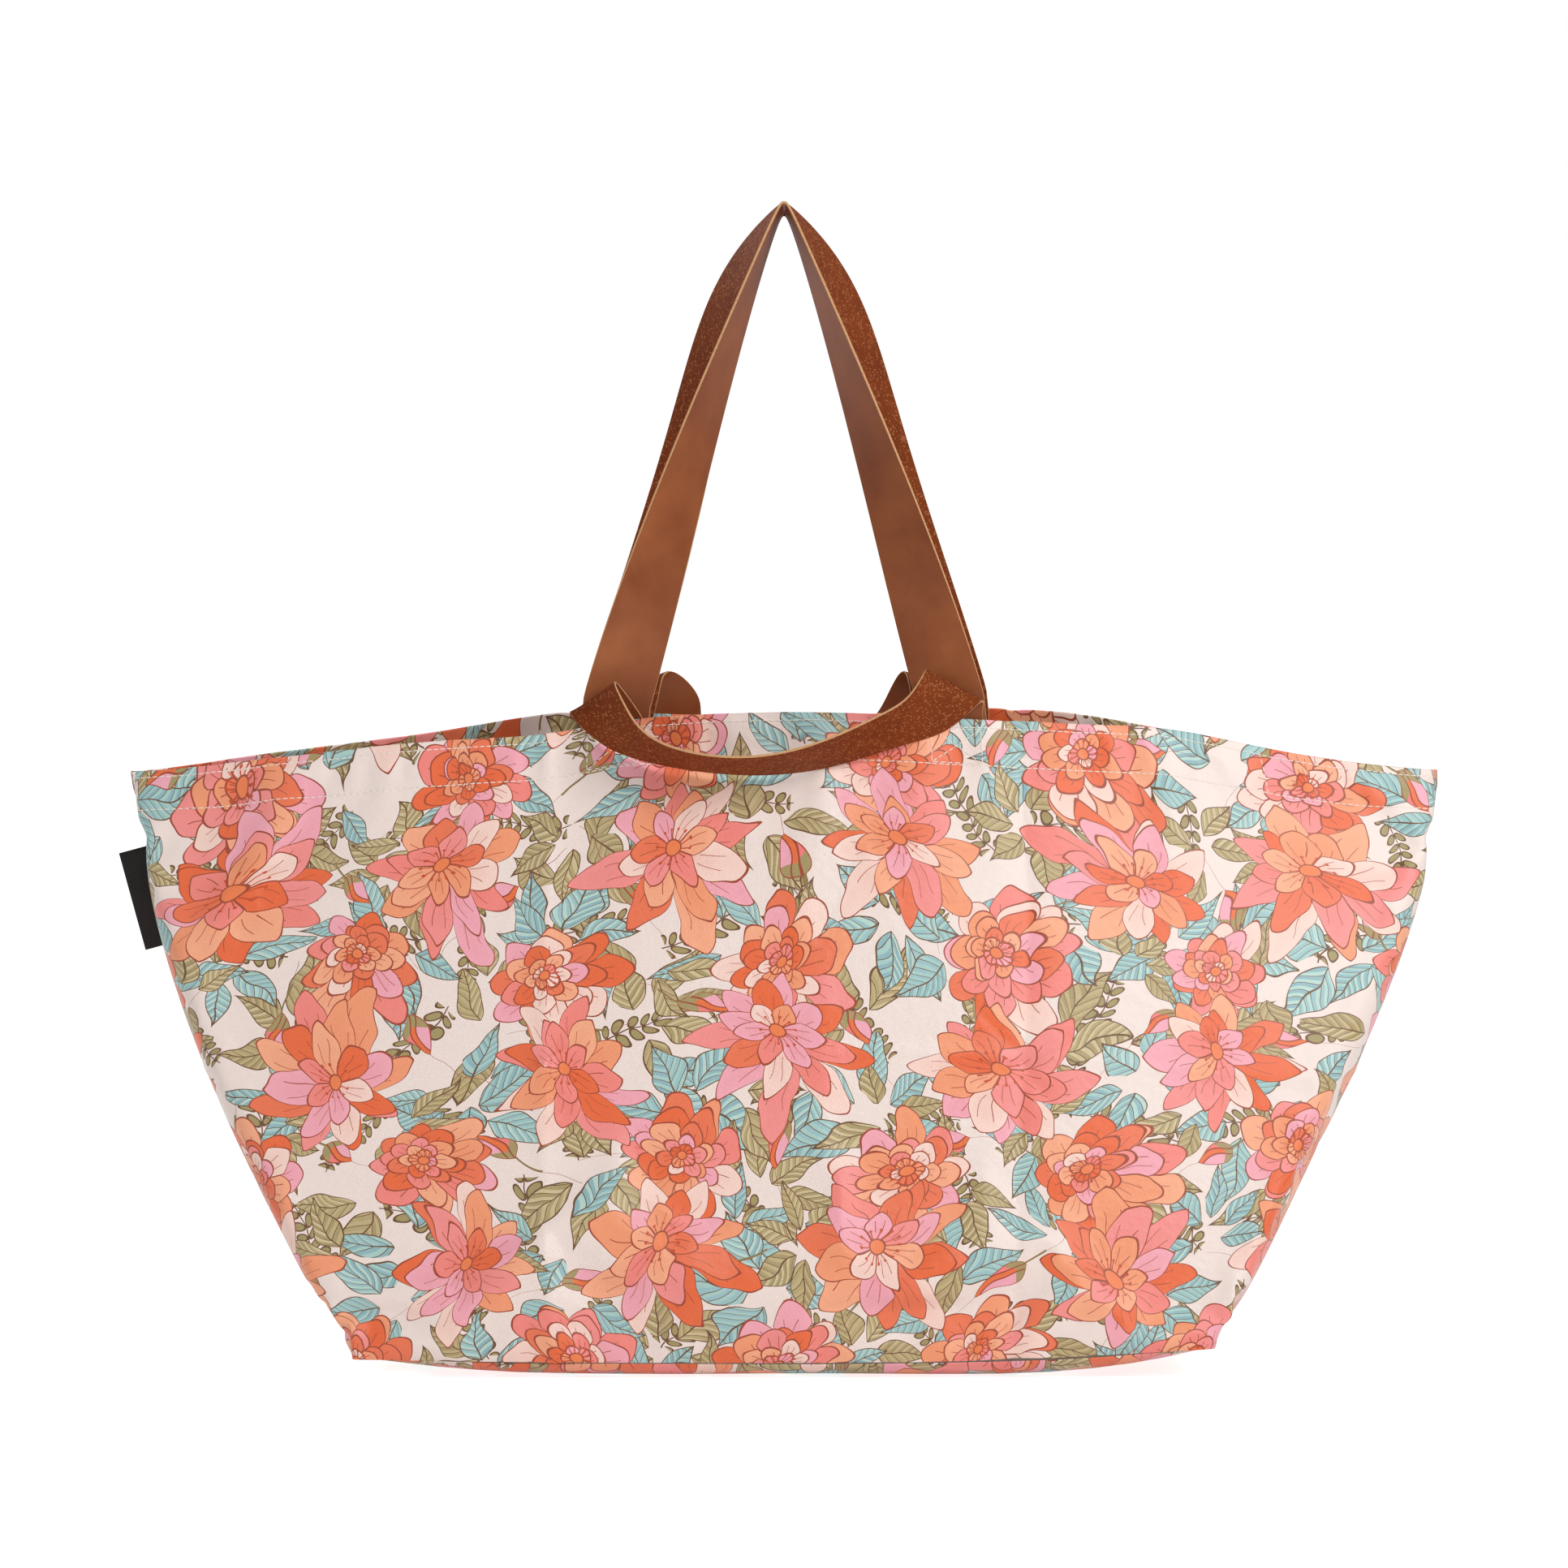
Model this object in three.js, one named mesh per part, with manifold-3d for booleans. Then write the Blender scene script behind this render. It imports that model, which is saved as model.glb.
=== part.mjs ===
// An oversized foldable tote bag: a wide printed-fabric body that narrows to a boxed base,
// with two long and two short flat strap handles sewn inside the hem of the mouth.
// Millimetres, +Z up. The origin is on the floor under the middle of the base, and -Y is the front.
import * as THREE from "three";
import { mergeVertices } from "three/addons/utils/BufferGeometryUtils.js";
import Module from "manifold-3d";

// ---- Driving dimensions -------------------------------------------------------------------------
const BASE_HALF_LENGTH = 241; // middle of the base to its short edge, along X
const BASE_HALF_DEPTH = 130; // middle of the base to its front edge, along Y
const MOUTH_HALF_WIDTH = 370; // middle of the mouth to its corner at the side seam
const MOUTH_HALF_DEPTH = 54; // mid-plane to the front panel at the middle of the mouth, a pointed oval
const FOLD_HALF = 128; // middle of the bag to a packing fold: a wall is stiff between its two folds
const SIDE_BULGE = 18; // how far the side edges bow out past a straight line
const PANEL_BELLY = 6; // how far the middle of a panel bellies out
const PANEL_LEAN_POWER = 1.3; // above 1, a panel rises steeply before it leans in
const GUSSET_BELLY = 4; // how far a side seam stands out past the creases beside it
const CORNER_HEIGHT = 339; // mouth corner above the floor
const MOUTH_ARCH = 32; // how much higher the middle of the mouth is, where the handles lift it
const MOUTH_ARCH_POWER = 1.6;
const SEAM_HEIGHT = 9; // bottom seam above the floor, at the middle of a long edge
const SEAM_CORNER_RISE = 5; // and how much higher it is at the corners
const CLOTH = 1.2; // panel thickness
const GAP = 0.4; // clearance between sewn layers
const LOOSE_GAP = 1.4; // clearance where a layer is only sewn along one edge
const FOLD_GAP = 1; // clearance between a wall's middle, which swings, and its wings
const HEM_DEPTH = 27; // the hem's turned-in layer
const HEM_CLOTH = 1;
const STRAP_WIDTH = 38;
const STRAP_THICK = 1.6;
const STRAP_SPACING_HALF = 96; // mid-plane to the middle of each strap end
const STRAP_SEWN = 25; // length of strap sewn below the mouth's edge
const STRAP_RISE = 4; // and the length of it that stands above the edge before it can bend
const LONG_HANDLE_TOP = 659; // top of the long handles above the floor
const BINDING_WIDTH = 10;
const BINDING_THICK = 1.2;
const LABEL_LENGTH = 57; // along the side seam
const LABEL_REACH = 17; // how far the label stands out of the seam
const LABEL_THICK = 1.2;

const printedCloth = new THREE.MeshStandardMaterial({ color: 0xf0b49c, roughness: 0.42, metalness: 0 });
const lining = new THREE.MeshStandardMaterial({ color: 0xf3e6de, roughness: 0.6, metalness: 0 });
const strap = new THREE.MeshStandardMaterial({ color: 0x7a3d20, roughness: 0.6, metalness: 0 });
const thread = new THREE.MeshStandardMaterial({ color: 0xf4ece2, roughness: 0.7, metalness: 0 });
const binding = new THREE.MeshStandardMaterial({ color: 0xe9dcd0, roughness: 0.8, metalness: 0 });
const labelWeave = new THREE.MeshStandardMaterial({ color: 0x1c1310, roughness: 0.85, metalness: 0 });

const wasm = await Module();
wasm.setup();

const vec = (x, y, z) => new THREE.Vector3(x, y, z);
const lerp = THREE.MathUtils.lerp;

// ---- The bag's surfaces --------------------------------------------------------------------------
// share runs from 0 at the bottom seam to 1 at the mouth.

function mouthHeight(x) {
  const arch = Math.cos((Math.PI * Math.min(Math.abs(x), MOUTH_HALF_WIDTH)) / (2 * MOUTH_HALF_WIDTH));
  return CORNER_HEIGHT + MOUTH_ARCH * arch ** MOUTH_ARCH_POWER;
}

function seamHeight(x) {
  return SEAM_HEIGHT + SEAM_CORNER_RISE * (x / BASE_HALF_LENGTH) ** 2;
}

// Half the width of the front panel, from its middle to the crease at its side.
function halfWidth(share) {
  const bow = SIDE_BULGE * Math.sin(Math.PI * share ** 1.25);
  return lerp(BASE_HALF_LENGTH, MOUTH_HALF_WIDTH, share) + bow;
}

function frontDepth(across, share) {
  const mouth = MOUTH_HALF_DEPTH * (1 - across ** 2);
  const belly = PANEL_BELLY * Math.sin(Math.PI * share) * (1 - across ** 2);
  return lerp(BASE_HALF_DEPTH, mouth, share ** PANEL_LEAN_POWER) + belly;
}

// The front panel's outer surface: across runs from 0 in the middle to 1 at the right-hand crease.
function frontSurface(across, share) {
  const low = seamHeight(across * BASE_HALF_LENGTH);
  const z = lerp(low, mouthHeight(across * MOUTH_HALF_WIDTH), share);
  return vec(across * halfWidth(share), -frontDepth(across, share), z);
}

// The furthest across at which the panel still stands this far from the mid-plane.
function widestAcross(share, depth) {
  const lean = share ** PANEL_LEAN_POWER;
  const short = (depth - BASE_HALF_DEPTH * (1 - lean)) / (MOUTH_HALF_DEPTH * lean);
  return Math.sqrt(1 - Math.max(short, 0)) - GAP / MOUTH_HALF_WIDTH;
}

// The front panel's outer surface at x, by distance below the mouth's edge.
function frontBelowMouth(x, drop) {
  const share = 1 - drop / (mouthHeight(x) - SEAM_HEIGHT);
  return frontSurface(x / halfWidth(share), share);
}

// A gusset is a tall triangle from the base's short edge to the mouth's corner. This is its front half on
// the right: across runs from 0 at the crease to 1 at the side seam, which is its middle.
function gussetPoint(across, share) {
  const crease = frontSurface(1, share);
  const out = GUSSET_BELLY * Math.sin(Math.PI * share) * (1 - (1 - across) ** 2);
  return vec(crease.x + out, crease.y * (1 - across), crease.z);
}

const seamPoint = (share) => gussetPoint(1, share);

// ---- Solids -------------------------------------------------------------------------------------

// A closed sheet over surface(u, v), u and v from 0 to 1, between two offsets along its normal.
function sheet(surface, uSteps, vSteps, low, high) {
  const step = 1e-3;
  const positions = [];
  const normalAt = (u, v) => {
    const du = surface(Math.min(u + step, 1), v).sub(surface(Math.max(u - step, 0), v));
    const dv = surface(u, Math.min(v + step, 1)).sub(surface(u, Math.max(v - step, 0)));
    return du.cross(dv).normalize();
  };
  for (const offset of [high, low])
    for (let j = 0; j <= vSteps; j++)
      for (let i = 0; i <= uSteps; i++) {
        const [u, v] = [i / uSteps, j / vSteps];
        positions.push(...surface(u, v).addScaledVector(normalAt(u, v), offset).toArray());
      }
  const row = uSteps + 1;
  const layer = row * (vSteps + 1);
  const index = [];
  const quad = (a, b, c, d) => index.push(a, b, c, a, c, d);
  for (let j = 0; j < vSteps; j++)
    for (let i = 0; i < uSteps; i++) {
      const a = j * row + i;
      quad(a, a + 1, a + 1 + row, a + row);
      quad(layer + a, layer + a + row, layer + a + 1 + row, layer + a + 1);
    }
  const rim = [];
  for (let i = 0; i < uSteps; i++) rim.push(i);
  for (let j = 0; j < vSteps; j++) rim.push(j * row + uSteps);
  for (let i = uSteps; i > 0; i--) rim.push(vSteps * row + i);
  for (let j = vSteps; j > 0; j--) rim.push(j * row);
  rim.forEach((a, k) => {
    const b = rim[(k + 1) % rim.length];
    quad(b, a, a + layer, b + layer);
  });
  return facingOut(positions, index);
}

// A geometry from points and triangles, turned so that its faces point out.
function facingOut(positions, index) {
  const corner = (k) => vec(...positions.slice(3 * index[k], 3 * index[k] + 3));
  let volume = 0;
  for (let k = 0; k < index.length; k += 3) volume += corner(k).dot(corner(k + 1).cross(corner(k + 2)));
  if (volume < 0) index.reverse();
  const geometry = new THREE.BufferGeometry();
  geometry.setAttribute("position", new THREE.Float32BufferAttribute(positions, 3));
  geometry.setIndex(index);
  return geometry;
}

function toManifold(geometry) {
  const bare = geometry.clone();
  bare.deleteAttribute("normal");
  bare.deleteAttribute("uv");
  const merged = mergeVertices(bare, 1e-4);
  const mesh = new wasm.Mesh({
    numProp: 3,
    vertProperties: new Float32Array(merged.attributes.position.array),
    triVerts: new Uint32Array(merged.index.array),
  });
  return new wasm.Manifold(mesh);
}

// Several overlapping closed geometries as one.
function joined(geometries) {
  const solid = geometries.map(toManifold).reduce((a, b) => a.add(b));
  const mesh = solid.getMesh();
  const geometry = new THREE.BufferGeometry();
  geometry.setAttribute("position", new THREE.Float32BufferAttribute(mesh.vertProperties, 3));
  geometry.setIndex([...mesh.triVerts]);
  return geometry;
}

const bag = new THREE.Group();

function place(name, geometry, material) {
  const mesh = new THREE.Mesh(geometry, material);
  mesh.name = name;
  bag.add(mesh);
}

// Mirrors a front-right surface to any of the four quarters.
const mirrored = (surface, xSign, ySign) => (u, v) => {
  const p = surface(u, v);
  return p.set(p.x * xSign, p.y * ySign, p.z);
};

// ---- Cloth panels -------------------------------------------------------------------------------

const THIRD_COLUMNS = 6;
const PANEL_ROWS = 8;
const GUSSET_COLUMNS = 3;
const GUSSET_TOP = 0.94; // share of the way up where a gusset half is too narrow to be a piece of its own
const PANEL_FOOT = 0.012; // share of the way up where the walls' cloth starts, clear of the base's

// A sheet between two depths inside the bag's outer surface, whichever way that surface's normal points.
function inwardSheet(surface, uSteps, vSteps, depth0, depth1, inside) {
  const middle = surface(0.5, 0.5);
  const du = surface(0.51, 0.5).sub(middle);
  const dv = surface(0.5, 0.51).sub(middle);
  const sign = du.cross(dv).dot(inside.clone().sub(middle)) > 0 ? 1 : -1;
  return sheet(surface, uSteps, vSteps, sign * depth0, sign * depth1);
}

const BAG_MIDDLE = vec(0, 0, CORNER_HEIGHT / 2);

// A wall has a stiff middle between its packing folds, and a wing on each side of it.
const THIRDS = ["left", "middle", "right"];

// The span of one third, where the panel stands this deep, drawn in this far from the crease.
function acrossOfThird(third, share, depth, inset) {
  const fold = FOLD_HALF / halfWidth(share);
  const gap = FOLD_GAP / 2 / halfWidth(share);
  const edge = widestAcross(share, depth) - inset / halfWidth(share);
  const spans = { left: [-edge, -fold - gap], middle: [-fold + gap, fold - gap], right: [fold + gap, edge] };
  return spans[third];
}

// One third of a layer of a wall, between two shares of the way up and two depths inside its outside.
function wallThird(third, ySign, shares, depths, columns, rows) {
  const clear = Math.max(...depths) + BINDING_THICK / 2 + GAP;
  const surface = (u, v) => {
    const share = lerp(...shares, v);
    const [first, last] = acrossOfThird(third, share, clear, 2 * Math.max(depths[0], 0));
    return frontSurface(lerp(first, last, u), share);
  };
  return inwardSheet(mirrored(surface, 1, ySign), columns, rows, ...depths, BAG_MIDDLE);
}

// A layer on a wall, between x0 and x1 and between two drops below the mouth's edge.
function wallLayer(ySign, x0, x1, drop0, drop1, uSteps, vSteps, depth0, depth1) {
  const surface = (u, v) => frontBelowMouth(lerp(x0, x1, u), lerp(drop0, drop1, v));
  return inwardSheet(mirrored(surface, 1, ySign), uSteps, vSteps, depth0, depth1, BAG_MIDDLE);
}

// The gusset's own cloth, clear of the panel beside it and of the binding in the side seam.
function gussetHalf(xSign, ySign) {
  const surface = (u, v) => {
    const share = lerp(PANEL_FOOT, GUSSET_TOP, v);
    const width = -frontSurface(1, share).y;
    const first = (CLOTH + 2 * GAP) / width;
    const last = 1 - (BINDING_THICK / 2 + GAP) / width;
    return gussetPoint(lerp(first, last, u), share);
  };
  return inwardSheet(mirrored(surface, xSign, ySign), GUSSET_COLUMNS, PANEL_ROWS, 0, CLOTH, BAG_MIDDLE);
}

const HEM_LAYER = CLOTH + GAP; // depth of the hem's turned-in layer
const HEM_TOP = 0.999; // share of the way up where it ends, just inside the fold
const shareBelowMouth = (drop) => 1 - drop / (CORNER_HEIGHT - SEAM_HEIGHT);

const RIM_X = 36; // width of the base's turned-up rim, along its short edges
const RIM_Y = 30; // and along its long edges
const RIM_POWER = 1.6; // above 1, the rim curves up out of the flat
const RIM_BELOW_SEAM = 2.5;
const RIM_GAP = 1.2; // clearance to the walls' cloth

// The base: flat on the floor in the middle, its rim turned up to the bottom seam.
function bottomPanel() {
  const xs = gridLines(BASE_HALF_LENGTH - CLOTH - RIM_GAP, RIM_X, 4);
  const ys = gridLines(BASE_HALF_DEPTH - CLOTH - RIM_GAP, RIM_Y, 2);
  const height = (x, y) => {
    const inX = (Math.abs(x) - (BASE_HALF_LENGTH - RIM_X)) / RIM_X;
    const inY = (Math.abs(y) - (BASE_HALF_DEPTH - RIM_Y)) / RIM_Y;
    const rise = Math.max(inX, inY, 0);
    return rise ** RIM_POWER * (seamHeight(x) - RIM_BELOW_SEAM);
  };
  const surface = (u, v) => {
    const x = atLine(xs, u);
    const y = atLine(ys, v);
    return vec(x, y, height(x, y));
  };
  return inwardSheet(surface, xs.length - 1, ys.length - 1, 0, CLOTH, BAG_MIDDLE);
}

// Grid lines from -half to half, with three across each rim and some across the flat.
function gridLines(half, rim, flat) {
  const inner = half - rim;
  const side = [1, 0.6, 0.25].map((s) => inner + rim * s);
  const middle = Array.from({ length: flat + 1 }, (_, i) => lerp(-inner, inner, i / flat));
  return [...side.map((s) => -s), ...middle, ...side.reverse()];
}

// The value of evenly numbered lines at u from 0 to 1.
function atLine(lines, u) {
  const at = u * (lines.length - 1);
  const k = Math.min(Math.floor(at), lines.length - 2);
  return lerp(lines[k], lines[k + 1], at - k);
}

place("bottom_panel", bottomPanel(), printedCloth);
for (const [face, ySign] of [["front", 1], ["back", -1]]) {
  for (const third of THIRDS) {
    const panel = wallThird(third, ySign, [PANEL_FOOT, 1], [0, CLOTH], THIRD_COLUMNS, PANEL_ROWS);
    place(`${face}_panel_${third}`, panel, printedCloth);
    const span = [shareBelowMouth(HEM_DEPTH), HEM_TOP];
    const hem = wallThird(third, ySign, span, [HEM_LAYER, HEM_LAYER + HEM_CLOTH], THIRD_COLUMNS, 1);
    place(`${face}_hem_facing_${third}`, hem, printedCloth);
  }
  for (const [side, xSign] of [["left", -1], ["right", 1]])
    place(`${side}_gusset_${face}_half`, gussetHalf(xSign, ySign), printedCloth);
}

// ---- Seam bindings inside the bag ------------------------------------------------------------------

const SIDE_BINDING_SPAN = [0.06, 0.93]; // shares of the way up where a side seam's binding starts and ends
const BOTTOM_BINDING_FOOT = 0.045; // share of the way up where a bottom seam's binding starts

function sideSeamBinding(xSign) {
  const surface = (u, v) => {
    const p = seamPoint(lerp(...SIDE_BINDING_SPAN, u));
    return vec((p.x - GAP - BINDING_WIDTH * v) * xSign, 0, p.z);
  };
  return sheet(surface, 10, 1, -BINDING_THICK / 2, BINDING_THICK / 2);
}

function bottomSeamBinding(third, ySign) {
  const width = BINDING_WIDTH / (CORNER_HEIGHT - SEAM_HEIGHT);
  const span = [BOTTOM_BINDING_FOOT, BOTTOM_BINDING_FOOT + width];
  const depth = CLOTH + LOOSE_GAP;
  return wallThird(third, ySign, span, [depth, depth + BINDING_THICK], THIRD_COLUMNS, 1);
}

for (const [face, ySign] of [["front", 1], ["back", -1]])
  for (const third of THIRDS)
    place(`${face}_bottom_seam_binding_${third}`, bottomSeamBinding(third, ySign), binding);
for (const [side, xSign] of [["left", -1], ["right", 1]])
  place(`${side}_side_seam_binding`, sideSeamBinding(xSign), binding);

// ---- Strap handles --------------------------------------------------------------------------------

const SHORT_STRAP_DEPTH = HEM_LAYER + HEM_CLOTH + GAP; // the short strap is sewn against the hem
const LONG_STRAP_DEPTH = SHORT_STRAP_DEPTH + STRAP_THICK + GAP; // and the long strap against the short one

function strapEnd(ySign, xMiddle, depth) {
  const x0 = xMiddle - STRAP_WIDTH / 2;
  const top = -STRAP_RISE;
  return wallLayer(ySign, x0, x0 + STRAP_WIDTH, top, STRAP_SEWN, 2, 2, depth, depth + STRAP_THICK);
}

// A flat strap along part of a path, where middle(s) is its centre and across(s) points to its outer edge.
function ribbon(middle, across, steps, from = 0, to = 1) {
  const surface = (u, v) => {
    const s = lerp(from, to, u);
    return middle(s).addScaledVector(across(s).normalize(), (v - 0.5) * STRAP_WIDTH);
  };
  return sheet(surface, steps, 1, -STRAP_THICK / 2, STRAP_THICK / 2);
}

// How a long handle stands: it narrows to a peak, and turns edge-on there, by degrees at share t of the
// way up. The back one stands out in a shoulder near the top, and keeps more of its face in sight until then.
const LONG_SHAPES = {
  front: { shoulder: 0, turn: (t) => 90 * t ** 0.93 },
  back: { shoulder: 7, turn: (t) => 62 * t ** 0.6 + 28 * t ** 9 },
};
const SHOULDER_POWER = 3.2; // larger puts the shoulder nearer the peak
const LONG_BOW = 0.14; // how far each leg bows out, as a share of its distance from the middle
const PEAK_DROP = 4; // the strap's centre below its top edge at the peak
const PEAK_ROUNDING = 0.03; // larger is a blunter peak
const PEAK_DEPTH = 21; // mid-plane to the strap's centre at the peak
const PEAK_TILT = 0.19; // how far the outer edge tips up at the peak, as a slope
const TILT_POWER = 6; // larger keeps the tilt nearer the peak
const LONG_START = STRAP_RISE + 7; // the free strap starts this far above the mouth's edge
const ROOT_SHARE = 0.018; // share of the free strap, at each end, that bends over the mouth's edge
const ROOT_GAP = 0.0012; // and the share left clear between a root and the loop

function longStrapPath(face, ySign) {
  const { shoulder, turn } = LONG_SHAPES[face];
  const mouth = frontBelowMouth(STRAP_SPACING_HALF, 0);
  const startZ = mouth.z + LONG_START;
  const startY = mouth.y + LONG_STRAP_DEPTH + STRAP_THICK / 2;
  const blunt = (p) => Math.hypot(p, PEAK_ROUNDING) - PEAK_ROUNDING;
  const rise = (p) => 1 - blunt(p) / blunt(1);
  const middle = (u) => {
    const p = 2 * u - 1;
    const t = rise(p);
    const side = STRAP_SPACING_HALF * p * (1 + LONG_BOW * (1 - Math.abs(p)));
    const round = shoulder * Math.sign(p) * Math.sin(Math.PI * t ** SHOULDER_POWER);
    const y = lerp(startY, -PEAK_DEPTH, t);
    return vec(side + round, y * ySign, lerp(startZ, LONG_HANDLE_TOP - PEAK_DROP, t));
  };
  const across = (u) => {
    const p = 2 * u - 1;
    const t = rise(p);
    const angle = THREE.MathUtils.degToRad(turn(t));
    const out = vec(Math.sign(p || 1) * Math.cos(angle), -Math.sin(angle) * ySign, PEAK_TILT * t ** TILT_POWER);
    const h = 1e-3;
    const along = middle(Math.min(u + h, 1)).sub(middle(Math.max(u - h, 0))).normalize();
    return out.addScaledVector(along, -out.dot(along));
  };
  return [middle, across];
}

function placeLongHandle(face, ySign) {
  const path = longStrapPath(face, ySign);
  const [first, last] = [ROOT_SHARE + ROOT_GAP, 1 - ROOT_SHARE - ROOT_GAP];
  place(`${face}_long_handle`, ribbon(...path, 36, first, last), strap);
  place(`${face}_long_handle_left_root`, ribbon(...path, 1, 0, ROOT_SHARE), strap);
  place(`${face}_long_handle_right_root`, ribbon(...path, 1, 1 - ROOT_SHARE, 1), strap);
}

// Short handles flop over the mouth's edge, and their lower edge rests on the panel. Each station is the
// strap's centre, x and z, and the direction of its outer edge, from one fold over the mouth to the other.
const SHORT_SHAPES = {
  front: [
    [-107, 376, 0.68, -0.53, 0.5],
    [-100, 366, 0.55, -0.7, 0.47],
    [-86, 353, 0.4, -0.85, 0.34],
    [-58, 343.5, 0.16, -0.94, 0.28],
    [-17, 340, 0, -0.95, 0.31],
    [24, 346.5, -0.18, -0.9, 0.4],
    [62, 360, -0.42, -0.78, 0.45],
    [84, 371.5, -0.62, -0.58, 0.53],
    [95, 383, -0.8, -0.36, 0.48],
  ],
  back: [
    [-98, 379, 0.75, -0.45, 0.5],
    [-88, 367, 0.57, -0.66, 0.48],
    [-66, 352, 0.36, -0.86, 0.36],
    [-34, 342.5, 0.12, -0.94, 0.3],
    [0, 340, 0, -0.95, 0.31],
    [34, 342.5, -0.12, -0.94, 0.3],
    [66, 352, -0.36, -0.86, 0.36],
    [88, 367, -0.57, -0.66, 0.48],
    [98, 379, -0.75, -0.45, 0.5],
  ],
};
const RESTING_GAP = 2.8; // strap's middle to the panel, at its lower edge

function restingPoint(x, z, out) {
  const half = STRAP_WIDTH / 2;
  const edge = vec(x, 0, z).addScaledVector(out, -half);
  const panel = frontBelowMouth(edge.x, Math.max(mouthHeight(edge.x) - edge.z, 0));
  return vec(x, panel.y - RESTING_GAP + out.y * half, z);
}

function shortHandle(face, ySign) {
  const stations = SHORT_SHAPES[face].map(([x, z, ...out]) => [x, z, vec(...out).normalize()]);
  const flip = vec(1, ySign, 1);
  const centres = stations.map(([x, z, out]) => restingPoint(x, z, out).multiply(flip));
  const edges = stations.map(([, , out]) => out.clone().multiply(flip));
  const path = new THREE.CatmullRomCurve3(centres);
  const turns = new THREE.CatmullRomCurve3(edges);
  const across = (u) => {
    const along = path.getTangent(u);
    const out = turns.getPoint(u);
    return out.addScaledVector(along, -out.dot(along));
  };
  return ribbon((u) => path.getPoint(u), across, 24);
}

for (const [face, ySign] of [["front", 1], ["back", -1]]) {
  for (const [side, xSign] of [["left", -1], ["right", 1]]) {
    const x = xSign * STRAP_SPACING_HALF;
    place(`${face}_short_handle_${side}_end`, strapEnd(ySign, x, SHORT_STRAP_DEPTH), strap);
    place(`${face}_long_handle_${side}_end`, strapEnd(ySign, x, LONG_STRAP_DEPTH), strap);
  }
  placeLongHandle(face, ySign);
  place(`${face}_short_handle`, shortHandle(face, ySign), strap);
}

// ---- Box stitching that holds the strap ends --------------------------------------------------------

const BOX_WIDTH = 29;
const BOX_TOP = 6; // below the mouth's edge
const BOX_BOTTOM = 23;
const STITCH_WIDE = 1.3;
const STITCH_PROUD = 0.5;
const STITCH_GAP = 0.3;
const STITCH_LIFT = 0.05; // between one row of a box and the next, so that no two share a surface

// A row of stitches from a to b, each [x, distance below the mouth's edge], lying on the outside. Rows
// that cross are lifted a little apart.
function stitchRow(ySign, a, b, lift) {
  const length = Math.hypot(b[0] - a[0], b[1] - a[1]);
  const [alongX, alongDrop] = [(b[0] - a[0]) / length, (b[1] - a[1]) / length];
  const surface = (u, v) => {
    const s = lerp(-STITCH_WIDE / 2, length + STITCH_WIDE / 2, u);
    const w = (v - 0.5) * STITCH_WIDE;
    return frontBelowMouth(a[0] + alongX * s - alongDrop * w, a[1] + alongDrop * s + alongX * w);
  };
  const low = -STITCH_GAP - lift;
  return inwardSheet(mirrored(surface, 1, ySign), 1, 1, low - STITCH_PROUD, low, BAG_MIDDLE);
}

function boxStitch(xMiddle, ySign) {
  const [left, right] = [xMiddle - BOX_WIDTH / 2, xMiddle + BOX_WIDTH / 2];
  const corners = [[left, BOX_TOP], [right, BOX_TOP], [right, BOX_BOTTOM], [left, BOX_BOTTOM]];
  const [a, b, c, d] = corners;
  const rows = [[a, b], [b, c], [c, d], [d, a], [a, c], [b, d]];
  return joined(rows.map(([from, to], k) => stitchRow(ySign, from, to, STITCH_LIFT * k)));
}

for (const [face, ySign] of [["front", 1], ["back", -1]])
  for (const [side, xSign] of [["left", -1], ["right", 1]])
    place(`${face}_${side}_box_stitch`, boxStitch(xSign * STRAP_SPACING_HALF, ySign), thread);

// The two rows of stitching that hold the hem.
const HEM_ROWS = { upper: 4, lower: HEM_DEPTH - 2 }; // below the mouth's edge

for (const [face, ySign] of [["front", 1], ["back", -1]])
  for (const [row, drop] of Object.entries(HEM_ROWS))
    for (const third of THIRDS) {
      const span = [drop - STITCH_WIDE / 2, drop + STITCH_WIDE / 2].map(shareBelowMouth);
      const proud = [-STITCH_GAP - STITCH_PROUD, -STITCH_GAP];
      const stitches = wallThird(third, ySign, span, proud, THIRD_COLUMNS, 1);
      place(`${face}_hem_${row}_stitching_${third}`, stitches, thread);
    }

// ---- Side label -----------------------------------------------------------------------------------

const LABEL_MIDDLE = 0.78; // share of the way up the side seam
const LABEL_START = 2; // the label starts this far out, clear of the seam's bow

function sideLabel() {
  const half = LABEL_LENGTH / 2;
  const foot = seamPoint(LABEL_MIDDLE);
  const up = seamPoint(LABEL_MIDDLE + 0.01).sub(seamPoint(LABEL_MIDDLE - 0.01)).normalize();
  const out = vec(up.z, 0, -up.x);
  const surface = (u, v) => {
    const p = foot.clone().addScaledVector(up, (2 * u - 1) * half);
    return p.addScaledVector(out, lerp(LABEL_START, LABEL_REACH, v));
  };
  return sheet(mirrored(surface, -1, 1), 1, 1, -LABEL_THICK / 2, LABEL_THICK / 2);
}

place("side_label", sideLabel(), labelWeave);

export default bag;
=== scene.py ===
import math
import random

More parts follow.
